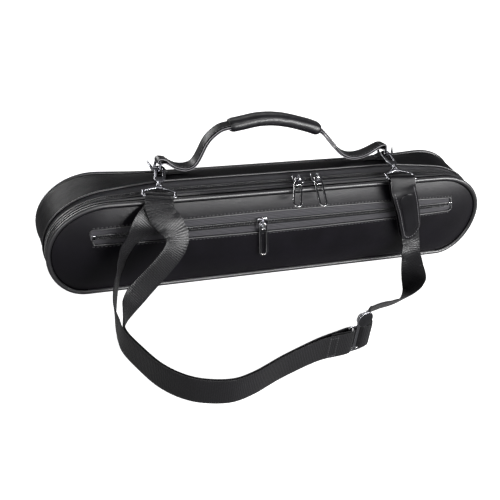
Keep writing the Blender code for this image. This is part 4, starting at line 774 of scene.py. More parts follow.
def apply_steps(made):
    """Applies the modifiers of an object to its mesh."""
    for other in bpy.context.selected_objects:
        other.select_set(False)
    made.select_set(True)
    bpy.context.view_layer.objects.active = made
    for step in list(made.modifiers):
        bpy.ops.object.modifier_apply(modifier=step.name)


def set_map(bm, rows, lengths, widths):
    """Gives a band its own map: metres along and metres across."""
    layer = bm.loops.layers.uv.new("along")
    where = {}
    for row, length in zip(rows, lengths):
        for vert, width in zip(row, widths):
            where[vert] = (length, width)
    for face in bm.faces:
        for loop in face.loops:
            if loop.vert in where:
                loop[layer].uv = where[loop.vert]


def join_rows(bm, rows, caps=True):
    """Faces between rows of the same number of points, each row closed, and over the two ends."""
    for low, high in zip(rows, rows[1:]):
        for j in range(len(low)):
            k = (j + 1) % len(low)
            bm.faces.new((low[j], low[k], high[k], high[j]))
    if caps:
        bm.faces.new(rows[0])
        bm.faces.new(rows[-1])


def running(points):
    """Length from the start to each point."""
    total = [0.0]
    for first, second in zip(points, points[1:]):
        total.append(total[-1] + (second - first).length)
    return total


def locate(total, at):
    """The step of a line that this length falls in, and its share of that step."""
    index = 0
    while index < len(total) - 2 and total[index + 1] < at:
        index += 1
    return index, (at - total[index]) / (total[index + 1] - total[index])


def spaced(points, pitch, margin=0.0):
    """Points at even steps along a line, with the direction there."""
    total = running(points)
    length = total[-1] - 2 * margin
    count = max(1, round(length / pitch))
    found = []
    for step in range(count + 1):
        index, share = locate(total, margin + length * step / count)
        along = (points[index + 1] - points[index]).normalized()
        found.append((points[index].lerp(points[index + 1], share), along))
    return found


def wall(name, section, look, body):
    """A wall carried round the top and both ends; section lists corners (inset, y)."""
    rings = [ring(inset, y) for inset, y in section]
    bm = bmesh.new()
    rows = [[bm.verts.new(point) for point in corners] for corners in zip(*rings)]
    join_rows(bm, rows)
    set_map(bm, rows, running(rings[0]), [y for _, y in section])
    return finish_mesh(name, bm, look, body)


def rounded_section(low_inset, high_inset, low_y, high_y, steps=10, pinch=0.0):
    """A wall's section whose long faces follow the crown, with softly turned edges."""
    outer, inner = [], []
    for step in range(steps + 1):
        share = step / steps
        y = low_y + (high_y - low_y) * share
        edge = min(share, 1 - share) * (high_y - low_y)
        drop = pinch * max(0.0, 1 - edge / (2.5 * pinch)) ** 2 if pinch else 0.0
        outer.append((low_inset + drop, y))
        inner.append((high_inset, y))
    return outer + inner[::-1]


def tube(name, points, radius, look, body, closed=False, sides=14):
    """A round rod along points; radius is one size or a list."""
    bm = bmesh.new()
    rows = []
    count = len(points)
    radii = radius if isinstance(radius, list) else [radius] * count
    side = None
    for i, point in enumerate(points):
        along = (points[(i + 1) % count] - points[i - 1]).normalized() if closed else heading(points, i)
        if side is None:
            side = along.orthogonal().normalized()
        side = (side - along * side.dot(along)).normalized()
        face = along.cross(side)
        rows.append([bm.verts.new(point + side * radii[i] * math.cos(a) + face * radii[i] * math.sin(a))
                     for a in (2 * math.pi * j / sides for j in range(sides))])
    if closed:
        # the last row is matched to the first by the nearest vertex
        shift = min(range(sides), key=lambda k: (rows[-1][0].co - rows[0][k].co).length)
        rows.append(rows[0][shift:] + rows[0][:shift])
    join_rows(bm, rows, not closed)
    return finish_mesh(name, bm, look, body, 60)


def strap(name, route, sides, width, thickness, look, body, edge_round=0.42, across=9, cup=0.0):
    """A flat strap with rounded edges along a route, mapped in metres along and across."""
    bm = bmesh.new()
    widths = width if isinstance(width, list) else [width] * len(route)
    shares = [-0.5 + j / across for j in range(across + 1)]
    profile = [(u, 0.5) for u in shares] + [(u, -0.5) for u in reversed(shares)]
    rows = []
    for i, (point, side) in enumerate(zip(route, sides)):
        along = heading(route, i)
        side = (side - along * side.dot(along)).normalized()
        face = along.cross(side)
        row = []
        turned = edge_round * thickness / widths[i]
        for u, v in profile:
            thin = 1 - EDGE_THINNING * max(0.0, (abs(u) - 0.5 + turned) / turned)
            bend = cup * (1 - (2 * u) ** 2)
            row.append(bm.verts.new(point + side * u * widths[i] + face * (v * thin * thickness + bend)))
        rows.append(row)
    join_rows(bm, rows)
    set_map(bm, rows, running(route), [u * widths[0] for u, _ in profile])
    return finish_mesh(name, bm, look, body, 50)


def plate(name, outer, holes, thickness, place, look, body, bevel=0.0003, steps=2):
    """A flat plate with rounded edges, from an outline with holes."""
    bm = bmesh.new()
    edges = []
    for loop in (outer, *holes):
        verts = [bm.verts.new((u, v, -thickness / 2)) for u, v in loop]
        edges += [bm.edges.new((a, b)) for a, b in zip(verts, verts[1:] + verts[:1])]
    bmesh.ops.triangle_fill(bm, edges=edges, use_beauty=True)
    grown = bmesh.ops.extrude_face_region(bm, geom=bm.faces[:])
    raised = [item for item in grown["geom"] if isinstance(item, bmesh.types.BMVert)]
    bmesh.ops.translate(bm, verts=raised, vec=(0, 0, thickness))
    bmesh.ops.dissolve_limit(bm, angle_limit=math.radians(0.5), verts=bm.verts, edges=bm.edges)
    for vert in bm.verts:
        vert.co = place(*vert.co)
    made = finish_mesh(name, bm, look, body, 32, bevel, steps)
    # the rim attribute marks the turned edges, where the metals paint a highlight colour
    facing = (place(0, 0, thickness) - place(0, 0, 0)).normalized()
    rim = made.data.attributes.new("rim", 'FLOAT', 'CORNER')
    for face in made.data.polygons:
        for corner in face.loop_indices:
            rim.data[corner].value = 0.0 if abs(face.normal.dot(facing)) > HIGHLIGHT_RIM_COSINE else 1.0
    return made


def stitches(name, spots, length, radius, look, body, slot=None, sides=6):
    """Short threads that lie on a surface: spots are (point, direction, outwards)."""
    bm = bmesh.new()
    for point, along, out in spots:
        along = along.normalized()
        side = along.cross(out).normalized()
        out = side.cross(along).normalized()
        rings = []
        for at, size, sunk in ((-0.5, 0.35, 0.7), (-0.28, 0.95, 0.1), (0.28, 0.95, 0.1), (0.5, 0.35, 0.7)):
            centre = point + along * length * at - out * radius * sunk
            rings.append([bm.verts.new(centre + (side * math.cos(a) + out * math.sin(a)) * radius * size)
                          for a in (2 * math.pi * j / sides for j in range(sides))])
        join_rows(bm, rings, False)
        bm.faces.new(rings[0][::-1])
        bm.faces.new(rings[-1])
    return finish_mesh(name, bm, look, body, 60, slot=slot)


def join(name, objects):
    """Joins loose objects into the first and renames it."""
    for other in bpy.context.selected_objects:
        other.select_set(False)
    for other in objects:
        other.select_set(True)
    bpy.context.view_layer.objects.active = objects[0]
    bpy.ops.object.join()
    objects[0].name = name
    objects[0].data.name = name
    return objects[0]


class Band:
    """A flat strap's route with the directions across it, for placing things on its faces."""

    def __init__(self, route, sides):
        self.route, self.sides = route, sides
        self.total = running(route)
        self.length = self.total[-1]

    def at(self, length):
        index, share = locate(self.total, length)
        share = clamp(share, 0.0, 1.0)
        along = (self.route[index + 1] - self.route[index]).normalized()
        side = self.sides[index].lerp(self.sides[index + 1], share)
        side = (side - along * side.dot(along)).normalized()
        return self.route[index].lerp(self.route[index + 1], share), along, side

    def spot(self, length, across, lift, toward):
        """A place off the strap's middle, on the face that looks the way of toward."""
        point, along, side = self.at(length)
        face = along.cross(side)
        if face.dot(toward) < 0:
            face = -face
        return point + side * across + face * lift, along, face

    def row(self, start, stop, across, lift, toward, pitch):
        count = max(1, round((stop - start) / pitch))
        return [self.spot(start + (stop - start) * i / count, across, lift, toward) for i in range(count + 1)]

    def cross_row(self, length, reach, lift, toward, pitch):
        count = max(1, round(2 * reach / pitch))
        spots = []
        for i in range(count + 1):
            point, along, face = self.spot(length, -reach + 2 * reach * i / count, lift, toward)
            spots.append((point, along.cross(face), face))
        return spots


def refined(route, sides, steps):
    return smooth_route(route, steps), blended_sides(sides, steps)


def set_pieces(made, *nodes):
    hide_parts(*nodes)
    return made


# Walls, panels and pipings

def fine_dome(inset, y, height, first=0.0, count=18, last=0.975):
    """Rings of a crowned face from its middle out to its edge."""
    edge = math.copysign(DEPTH / 2, y)
    shares = [first + (last - first) * (i / count) ** 1.5 for i in range(count + 1)]
    return [ring(inset, y + height * bulge(share), share, edge) for share in reversed(shares)]


def panel_y(x, z, depth):
    """The y of a place this far behind the front panel's face, as the CAD's straight-sided rings give it."""
    share = panel_share(x, z, 2 * FRONT_PIPING_RADIUS + FIT)
    for low, high in zip(DOME_SHARES, DOME_SHARES[1:]):
        if share <= high:
            rise = bulge(low) + (bulge(high) - bulge(low)) * (share - low) / (high - low)
            return front(depth) - FRONT_BULGE * rise
    return front(depth) - FRONT_BULGE * bulge(DOME_SHARES[-1])


def smooth_panel_y(x, z, depth):
    """The y of a place this far behind the front panel's face, on its smooth crown."""
    return front(depth) - FRONT_BULGE * bulge(panel_share(x, z, 2 * FRONT_PIPING_RADIUS + FIT))


def skin(name, rings, look, body):
    bm = bmesh.new()
    join_rows(bm, [[bm.verts.new(point) for point in points] for points in rings])
    return finish_mesh(name, bm, look, body, 50)


def slot_edge(grow, steps=64):
    """The pocket mouth's outline (x, z), grown by a little."""
    corner = POCKET_CORNER + grow
    end = POCKET_HALF_LENGTH + grow
    straight = end - corner
    points = []
    for step in range(steps + 1):
        x = straight - 2 * straight * step / steps
        points.append((x, POCKET_MIDDLE_HEIGHT + pocket_half(x) + grow))
    low = POCKET_END_HALF + grow - corner
    for step in range(1, 6):
        angle = math.pi / 2 * (1 + step / 5)
        points.append((-straight + corner * math.cos(angle), POCKET_MIDDLE_HEIGHT + low + corner * math.sin(angle)))
    points += [(-x, 2 * POCKET_MIDDLE_HEIGHT - z) for x, z in points]
    return points


def make_panels():
    edge = 2 * FRONT_PIPING_RADIUS + FIT
    outside = fine_dome(edge - 0.0006, front(0.0), -FRONT_BULGE)
    inside = fine_dome(edge - 0.0006, front(LEATHER), -FRONT_BULGE)
    panel = skin("front_skin", outside + inside[::-1], PANEL, "lid")
    cutter = plate("mouth_cutter", slot_edge(0.0), (), 4 * FRONT_BULGE, on_front, PANEL, None, 0.0)
    step = panel.modifiers.new("mouth", 'BOOLEAN')
    step.operation, step.solver, step.object = 'DIFFERENCE', 'EXACT', cutter
    apply_steps(panel)
    bpy.data.objects.remove(cutter)
    panel.data.set_sharp_from_angle(angle=math.radians(40))
    set_pieces(panel, "front_panel")

    back_edge = 2 * REAR_PIPING_RADIUS + 2 * FIT
    outside = fine_dome(back_edge - 0.0005, DEPTH / 2, REAR_BULGE)
    inside = fine_dome(back_edge - 0.0005, DEPTH / 2 - LEATHER, REAR_BULGE)
    set_pieces(skin("back_skin", outside + inside[::-1], PANEL, "case"), "back_panel")

    for name, y, radius, body, node in (("front_welt", front(0.0), FRONT_PIPING_RADIUS, "lid", "front_piping"),
                                        ("rear_welt", DEPTH / 2, REAR_PIPING_RADIUS, "case", "rear_piping")):
        path = ring(radius, y)
        path = path[:-1] if (path[0] - path[-1]).length < radius else path
        low = [path[-1].lerp(path[0], i / 60) for i in range(1, 60)]
        set_pieces(tube(name, path + low, radius, PIPE, body, True, 16), node)

    # the dark seams on both sides of the front piping, whose near-black is also painted shade for the grooves there
    for name, inset, y in (("inner_seam_line", 2 * FRONT_PIPING_RADIUS + 0.0003, front(0.0) - 0.0001),
                           ("outer_seam_line", WALL_INSET + 0.0002, front(FRONT_PIPING_RADIUS) + 0.0003)):
        path = ring(inset, y)
        tube(name, path, 0.00070, SEAM_GROOVE_SHADE, "lid", False, 8)

    # the pocket mouth's turned edge
    lip = [Vector((x, smooth_panel_y(x, z, 0.0002), z)) for x, z in slot_edge(0.0005)]
    tube("mouth_lip", lip, 0.00070, PIPE, "lid", True, 8)
    spots = []
    for sign in (1, -1):
        line = []
        for step in range(121):
            x = (POCKET_HALF_LENGTH - 0.002) * (2 * step / 120 - 1)
            z = POCKET_MIDDLE_HEIGHT + sign * (pocket_half(x) + 0.0022)
            line.append(Vector((x, smooth_panel_y(x, z, 0.0), z)))
        row = [(point, along, Vector((0, -1, 0.25))) for point, along in spaced(line, 0.0036, 0.001)]
        if sign > 0:
            stitches("upper_mouth_stitches", row, 0.0026, 0.00060, DARK_THREAD, "lid")
        else:
            spots += row
    stitches("mouth_stitches", spots, 0.0026, 0.00030, THREAD, "lid")


def make_case_walls():
    inner = WALL_INSET + LEATHER
    seam = front(REAR_SEAM_DEPTH)
    back = DEPTH / 2 - REAR_PIPING_RADIUS - FIT
    section = rounded_section(WALL_INSET, inner, seam, back, 18, 0.0003)
    set_pieces(wall("rear_wall", section, GUSSET, "case"), "rear_gusset")
    start = front(FRONT_PIPING_RADIUS + FIT)
    section = rounded_section(WALL_INSET, inner, start, front(FRONT_GUSSET_DEPTH), 6, 0.0002)
    # painted light: the front band wears a lighter copy of the gusset's leather
    set_pieces(wall("front_wall", section, LIT_BAND, "lid"), "front_gusset")

    half = LENGTH / 2 - BOTTOM_END_RADIUS - FIT
    low = front(FRONT_PIPING_RADIUS + FIT)
    outline_points = rounded_box(half, (back - low) / 2, 0.001, (0.0, (back + low) / 2), 4)
    under = plate("under_wall", outline_points, (), LEATHER, lambda u, v, w: Vector((u, v, w + LEATHER / 2)), GUSSET,
                  "case", 0.0002, 1)
    set_pieces(under, "bottom_gusset")

    # the stitched seam at the rear gusset's front edge, and the lid band's own stitching
    for name, y, body, look, long in (
            ("seam_stitches", seam + 0.0016, "case", BRIGHT_THREAD, 0.0024),
            ("band_stitches", front(FRONT_GUSSET_DEPTH) - 0.0011, "lid", THREAD, 0.0022)):
        path = ring(WALL_INSET, y)
        spots = [(point, along, LEVEL.cross(along)) for point, along in spaced(path, 0.0030, 0.004)]
        stitches(name, spots, long, 0.00028, look, body)
    path = ring(WALL_INSET - 0.0001, seam + 0.0003)
    tube("seam_fold", path, 0.00080, PIPE, "case", False, 8)


def make_zipper():
    part = front(PART_LINE)
    top = WALL_INSET + LEATHER + FIT
    seam = front(REAR_SEAM_DEPTH)
    section = rounded_section(top, top + TAPE, part + FIT / 2, seam + TAPE_TUCK, 8)
    set_pieces(wall("rear_tape", section, ZIP_TAPE, "case"), "zipper_tape_rear")
    section = rounded_section(top, top + TAPE, front(FRONT_PIPING_RADIUS + FIT), part - FIT / 2, 6)
    set_pieces(wall("front_tape", section, ZIP_TAPE, "lid"), "zipper_tape_front")
    level = top - FIT - COIL_HEIGHT / 2
    pitch = MAIN_TEETH_PITCH
    for name, sign, node, body in (("rear_teeth", 1, "zipper_coil_rear", "case"),
                                   ("front_teeth", -1, "zipper_coil_front", "lid")):
        near, far = ring(level, part + sign * 0.0001), ring(level, part + sign * COIL_WIDTH / 2)
        across = [(b - a) for a, b in zip(near, far)]
        spots = []
        total = running(near)
        for i in range(round((total[-1] - 2 * TEETH_MARGIN) / pitch)):
            index, share = locate(total, TEETH_MARGIN + (i + (0.5 if sign > 0 else 0.0)) * pitch)
            if share > 1:
                break
            along = near[index + 1] - near[index]
            over = across[index].lerp(across[index + 1], share)
            spots.append((near[index] + along * share + over * 0.5, over, LEVEL.cross(along)))
        set_pieces(stitches(name, spots, COIL_WIDTH / 2, TEETH_RADIUS, TEETH, body), node)
        rail = ring(level + 0.0001, part + sign * (COIL_WIDTH / 2 - 0.0004))
        tube(name + "_rail", rail, 0.00055, TEETH, body, False, 6)


def make_padding():
    wall_in = WALL_INSET + LEATHER + FIT
    rim = front(FOAM_RIM_DEPTH)
    back = DEPTH / 2 - LEATHER - FIT
    shoulder_y = DEPTH / 2 - REAR_PIPING_RADIUS - 2 * FIT
    floor_y = shoulder_y - FOAM
    inner = wall_in + FOAM
    levels = [rim + (shoulder_y - rim) * i / 10 for i in range(11)]
    rings = fine_dome(wall_in + REAR_PIPING_RADIUS, back, REAR_BULGE, 0.0, 8, 0.86)
    rings += [ring(wall_in, y) for y in reversed(levels)]
    rings += [ring(inner, y) for y in levels if y < floor_y - 0.001] + [ring(inner, floor_y)]
    rings += [ring(inner, floor_y, share) for share in (0.1, 0.3, 0.55, 0.86)]
    foam = skin("base_foam", rings, FOAM_STUFF, "case")
    set_pieces(foam, "base_padding")
    cover, face, inside = rim - FIT, floor_y - FIT, inner + FIT
    walls = [cover + (face - cover) * i / 8 for i in range(9)]
    rings = [ring(inside, face, share) for share in (0.86, 0.5, 0.2)] + [ring(inside, y) for y in reversed(walls)]
    rings += [ring(wall_in, cover), ring(wall_in, cover - LINING)]
    rings += [ring(inside + LINING, cover - LINING)] + [ring(inside + LINING, y) for y in walls[1:-1]]
    rings += [ring(inside + LINING, face - LINING, share) for share in (0.0, 0.2, 0.5, 0.86)]
    set_pieces(skin("base_cloth", rings, LINING_CLOTH, "case"), "base_lining")

    edge = 2 * FRONT_PIPING_RADIUS + FIT
    pouch = LEATHER + TAPE + 4 * FIT
    foam_depth = pouch + 0.0006 + FIT
    cover = foam_depth + FOAM + FIT
    for name, low, thick, first, look, node in (
            ("pocket_cloth", pouch, 0.0006, 0.05, LINING_CLOTH, "pocket_lining"),
            ("lid_foam", foam_depth, FOAM, 0.01, FOAM_STUFF, "lid_padding"),
            ("lid_cloth", cover, LINING, 0.01, LINING_CLOTH, "lid_lining")):
        outside = fine_dome(edge, front(low), -FRONT_BULGE, first, 10, 0.90)
        inside = fine_dome(edge, front(low + thick), -FRONT_BULGE, first, 10, 0.90)
        made = set_pieces(skin(name, outside + inside[::-1], look, "lid"), node)
        name == "lid_foam"


def front_strip(name, half_length, low, high, depth, thickness, look, steps=90, rows=5):
    """A strip of cloth behind the front panel's face, between two heights that may follow x."""
    bm = bmesh.new()
    made = []
    for step in range(steps + 1):
        x = half_length * (2 * step / steps - 1)
        levels = [low(x) + (high(x) - low(x)) * j / rows for j in range(rows + 1)]
        corners = [(z, depth) for z in levels] + [(z, depth + thickness) for z in reversed(levels)]
        made.append([bm.verts.new((x, smooth_panel_y(x, z, back), z)) for z, back in corners])
    join_rows(bm, made)
    set_map(bm, made, [2 * half_length * i / steps for i in range(steps + 1)], [vert.co.z for vert in made[0]])
    return finish_mesh(name, bm, look, "lid", 50)


def make_pocket():
    middle = POCKET_MIDDLE_HEIGHT
    coil = POCKET_COIL_WIDTH / 2
    long_half = POCKET_HALF_LENGTH + POCKET_TUCK / 2
    coil_half = POCKET_HALF_LENGTH - STOP_LENGTH - 2 * FIT
    depth = LEATHER + FIT
    rise = LEATHER - COIL_HEIGHT
    for name, sign, node, teeth_node in (("upper_tape", 1, "pocket_tape_upper", "pocket_coil_upper"),
                                         ("lower_tape", -1, "pocket_tape_lower", "pocket_coil_lower")):
        near = lambda x, g=sign: middle + g * FIT / 2
        far = lambda x, g=sign: middle + g * (pocket_half(x) + POCKET_TUCK)
        low, high = (near, far) if sign > 0 else (far, near)
        set_pieces(front_strip(name, long_half, low, high, depth, TAPE, ZIP_TAPE), node)
        spots = []
        pitch = POCKET_TEETH_PITCH
        count = int(2 * coil_half / pitch) - 1
        for i in range(count):
            x = -coil_half + (i + (0.75 if sign > 0 else 0.25)) * pitch
            z = middle + sign * (coil / 2 - 0.0001)
            above = Vector((x, smooth_panel_y(x, z + 0.0005, rise + COIL_HEIGHT / 2), z + 0.0005))
            below = Vector((x, smooth_panel_y(x, z - 0.0005, rise + COIL_HEIGHT / 2), z - 0.0005))
            spots.append(((above + below) / 2, above - below, Vector((0, -1, 0))))
        made = stitches(name.replace("tape", "pocket_teeth"), spots, coil + 0.0003, TEETH_RADIUS, TEETH, "lid")
        set_pieces(made, teeth_node)
        line = []
        for i in range(91):
            x = coil_half * (2 * i / 90 - 1)
            z = middle + sign * (coil - 0.0003)
            line.append(Vector((x, smooth_panel_y(x, z, rise + COIL_HEIGHT / 2 + 0.0001), z)))
        tube(name.replace("tape", "pocket_rail"), line, 0.0005, TEETH, "lid", False, 6)
    for side, sign in (("left", -1), ("right", 1)):
        x = sign * (POCKET_HALF_LENGTH - STOP_LENGTH / 2 - FIT)
        y = (smooth_panel_y(x, middle, rise) + smooth_panel_y(x, middle, LEATHER)) / 2
        made = plate(side + "_stop", rounded_box(STOP_LENGTH / 2, coil, 0.0005), (), COIL_HEIGHT,
                     lambda u, v, w, x=x, y=y: Vector((x + u, y + w, middle + v)), GUNMETAL, "lid", 0.0003)
        set_pieces(made, "pocket_stop_" + side)


# Sliders and pulls

def make_slider(name, frame_at, body, node):
    half = SLIDER_WIDTH / 2
    base = FIT + SLIDER_PLATE / 2
    shape = []
    for u, v in rounded_box(SLIDER_LENGTH / 2, half, 0.0024, (0.0, 0.0), 5):
        pinch = 1 - 0.14 * max(0.0, u / (SLIDER_LENGTH / 2)) ** 2
        shape.append((u, v * pinch))
    top_plate = plate(name, shape, (), SLIDER_PLATE, lambda u, v, w: frame_at(u, v, w + base), GUNMETAL, body,
                      0.0004, 3)
    parts = [top_plate]
    for sign in (-1, 1):
        low, high = -COIL_HEIGHT, FIT + SLIDER_PLATE / 2
        centre = sign * (half - SLIDER_FLANGE / 2)
        outline_points = rounded_box(SLIDER_LENGTH / 2 - 0.0008, (high - low) / 2, 0.0004, (0.0, (low + high) / 2), 3)
        parts.append(plate(name + "_flange", outline_points, (), SLIDER_FLANGE,
                           lambda u, v, w, c=centre: frame_at(u, c + w, v), GUNMETAL, body, 0.0002))
    top = FIT + SLIDER_PLATE
    roof = top + BAIL_ROOM
    sunk = top - SLIDER_PLATE / 2
    outer, inner = BAIL_HALF + BAIL_STRIP, BAIL_HALF
    left = [(-outer, roof - 0.0002), (-outer, sunk), (-inner, sunk), (-inner, roof - 0.0008), (-inner + 0.0006, roof)]
    crown = [(outer - 0.0010, roof + BAIL_STRIP), (-outer + 0.0010, roof + BAIL_STRIP)]
    arch = left[1:] + mirrored(left, 1) + crown + left[:1]
    parts.append(plate(name + "_bail", arch, (), BAIL_WIDTH, lambda u, v, w: frame_at(w, u, v), GUNMETAL, body,
                       0.00025))
    set_pieces(join(name, parts), node)
    return frame_at(0, 0, top + BAIL_ROOM / 2)


def make_pull(name, pivot, along, lean, body, node):
    flat = Frame(pivot, (1, 0, 0), along)
    hang = Frame(pivot, flat(math.cos(lean), math.sin(lean), 0) - flat.origin, flat.v)
    narrow = PULL_EYE_WIDTH / 2 + PULL_RIM
    half, bar, cut = PULL_WIDTH / 2, PULL_RIM / 2, PULL_HEAD_CUT
    neck = PULL_EYE + PULL_RIM
    end = PULL_LENGTH
    right = [(narrow - cut, -bar), (narrow, cut - bar), (narrow, neck), (half, neck + PULL_RIM),
             (half, end - PULL_CHAMFER - 0.0008), (half - 0.0006, end - PULL_CHAMFER + 0.0004),
             (half - PULL_CHAMFER, end - 0.0002), (half - PULL_CHAMFER - 0.0006, end)]
    outer = mirrored(right[:2], 1) + right + mirrored(right[2:], 1)
    eye = rounded_box(PULL_EYE_WIDTH / 2, PULL_EYE / 2, 0.0009, (0, bar + PULL_EYE / 2), 4)
    slot_start = neck + PULL_SLOT_START
    hole = half - PULL_RIM
    slot = [(-hole, slot_start + 0.0022), (hole, slot_start)]
    slot += [(hole, end - PULL_RIM - 0.0022), (hole - 0.0010, end - PULL_RIM), (0.0010 - hole, end - PULL_RIM),
             (-hole, end - PULL_RIM - 0.0022)]
    made = plate(name, outer, (eye, slot), PULL_THICKNESS, hang, PULL_METAL, body, 0.00042, 3)
    set_pieces(made, node)


def make_sliders():
    for side, x in zip(("left", "right"), MAIN_SLIDER_PLACES):
        height = HEIGHT - WALL_INSET - LEATHER + COIL_HEIGHT
        here = settled(x, front(PART_LINE), height)
        across = (settled(x, front(PART_LINE + COIL_WIDTH / 2), height)
                  - settled(x, front(PART_LINE - COIL_WIDTH / 2), height))
        pivot = make_slider(side + "_zip_body", Frame(here, (1, 0, 0), across), side + "_slider", "main_slider_" + side)
        make_pull(side + "_zip_pull", pivot, pull_direction(pivot), PULL_LEANS[side], side + "_pull", "pull_" + side)
    x, middle = POCKET_SLIDER_PLACE, POCKET_MIDDLE_HEIGHT
    rise, coil = LEATHER - COIL_HEIGHT, POCKET_COIL_WIDTH / 2
    across = (0, panel_y(x, middle + coil, rise) - panel_y(x, middle - coil, rise), POCKET_COIL_WIDTH)
    here = Frame((x, panel_y(x, middle, rise), middle), (1, 0, 0), across)
    pivot = make_slider("pocket_zip_body", here, "front_slider", "pocket_slider")
    make_pull("pocket_zip_pull", pivot, Vector((0, 0, -1)), PULL_LEANS["pocket"], "front_pull", "pocket_pull")


# Rings, handle and hooks

def make_rings():
    for side in ("left", "right"):
        here = ring_frame(side)
        corners = rounded_box(RING_WIDTH / 2, RING_HEIGHT / 2, RING_CORNER, (0, RING_HEIGHT / 2), 8)
        path = []
        for (u, v), (p, q) in zip(corners, corners[1:] + corners[:1]):
            steps = max(1, round(math.hypot(p - u, q - v) / 0.0006))
            path += [here(u + (p - u) * i / steps, v + (q - v) * i / steps, 0) for i in range(steps)]
        set_pieces(tube(side + "_ring", path, RING_WIRE, DARK_METAL, "case", True, 16), "d_ring_" + side)

        inward = 1 if side == "left" else -1
        across = across_top() * inward
        close = (TAB_LEATHER + FIT) / 2
        wide = RING_WIRE + FIT + TAB_LEATHER / 2
        line = []
        for step in range(14):
            away = TAB_LENGTH * (1 - step / 14)
            x = here.origin.x + inward * away
            share = clamp(1 - away / TAB_FADE, 0.0, 1.0)
            reach = spread(close, wide, share)
            lift = (FIT + TAB_LEATHER / 2 + reach) / math.cos(TOP_TILT)
            line.append(Vector((x, HANDLE_Y, top_z(x, HANDLE_Y) + lift)))
        line.append(here.origin)
        route, sides = fold(line, [across] * len(line), RING_WIRE, TAB_LEATHER, FIT, TAB_FADE, TAB_RETURN)
        route, sides = refined(route, sides, 3)
        set_pieces(strap(side + "_tab", route, sides, TAB_WIDTH, TAB_LEATHER, STRAP_LEATHER, "case"),
                   "ring_tab_" + side)
        band = Band(route, sides)
        spots = []
        for across_by in (-0.0038, 0.0038):
            spots += band.row(0.0012, TAB_RETURN - 0.0035, across_by, TAB_LEATHER / 2, UP, 0.0024)
        spots += band.cross_row(0.0012, 0.0036, TAB_LEATHER / 2, UP, 0.0024)
        stitches(side + "_tab_stitches", spots, 0.0018, 0.00024, THREAD, "case")


def make_handle():
    line = handle_line()
    rises = [i for i, point in enumerate(line) if point.z > HANDLE_AXIS_Z + HANDLE_JOIN
             and abs(point.x - HANDLE_MIDDLE) < HANDLE_TILT_SHARE * HANDLE_HALF_SPAN]
    low, high = rises[0], rises[-1]
    depth = 2 * HANDLE_LAYER + FIT
    arch, sides = refined(line[low:high + 1], [LEVEL] * (high + 1 - low), 4)
    top_layer, lower_layer = [], []
    for i, point in enumerate(arch):
        face = heading(arch, i).cross(LEVEL).normalized()
        top_layer.append(point + face * (depth / 2 - HANDLE_LAYER / 2))
        lower_layer.append(point - face * (depth / 2 - HANDLE_LAYER / 2))
    belt = strap("handle_belt", top_layer, sides, HANDLE_WIDTH - EDGE_SHOWS, HANDLE_LAYER, STRAP_LEATHER,
                 "handle", 0.6, 9, 0.0002)
    strap("handle_belt_under", lower_layer, sides, HANDLE_WIDTH - EDGE_SHOWS, HANDLE_LAYER, STRAP_LEATHER,
          "handle", 0.6)
    set_pieces(belt, "handle_arch")
    for name, route in (("belt_edge_upper", top_layer), ("belt_edge_under", lower_layer)):
        strap(name, route, sides, HANDLE_WIDTH, HANDLE_LAYER * EDGE_SHARE, EDGE, "handle", 0.9, 7)
    band = Band(top_layer, sides)
    spots = []
    for across_by in (-1, 1):
        spots += band.row(0.004, band.length - 0.004, across_by * (HANDLE_WIDTH / 2 - BELT_STITCH_INSET),
                          HANDLE_LAYER / 2 + 0.00015, UP, BELT_PITCH)
    stitches("belt_stitches", spots, 0.0025, 0.00028, THREAD, "handle")

    make_grip(line[low:high + 1], depth)

    for side, part in (("left", line[low::-1]), ("right", line[high:])):
        start = part[0] + (part[1] - part[0]).normalized() * FIT
        part = [start, *part[1:]]
        sign = 1 if side == "left" else -1
        part_sides = [handle_side(point) * sign for point in part]
        route, across = fold(part, part_sides, RING_WIRE, HANDLE_LAYER, FIT, HANDLE_FOLD_FADE)
        route, across = refined(route, across, 4)
        near, far = tuple(part[-1]), tuple(part[0])
        end = strap(side + "_handle_end", route, across, HANDLE_WIDTH - EDGE_SHOWS, HANDLE_LAYER, STRAP_LEATHER,
                    None, 0.6)
        edge = strap(side + "_end_edge", route, across, HANDLE_WIDTH, HANDLE_LAYER * EDGE_SHARE, EDGE, None, 0.9, 7)
        band = Band(route, across)
        half = band.length / 2
        spots = []
        for across_by in (-1, 1):
            reach = across_by * (HANDLE_WIDTH / 2 - BELT_STITCH_INSET)
            spots += band.row(0.001, half - 0.010, reach, HANDLE_LAYER / 2, UP, BELT_PITCH)
        spots += band.cross_row(half - 0.0088, HANDLE_WIDTH / 2 - 0.0022, HANDLE_LAYER / 2, UP, 0.0028)
        thread_piece = stitches(side + "_end_stitches", spots, 0.0024, 0.00028, THREAD, None)
        for made in (end, edge, thread_piece):
            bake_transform(made)
            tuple(near)
            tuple(far)
        set_pieces(end, "handle_end_" + side)


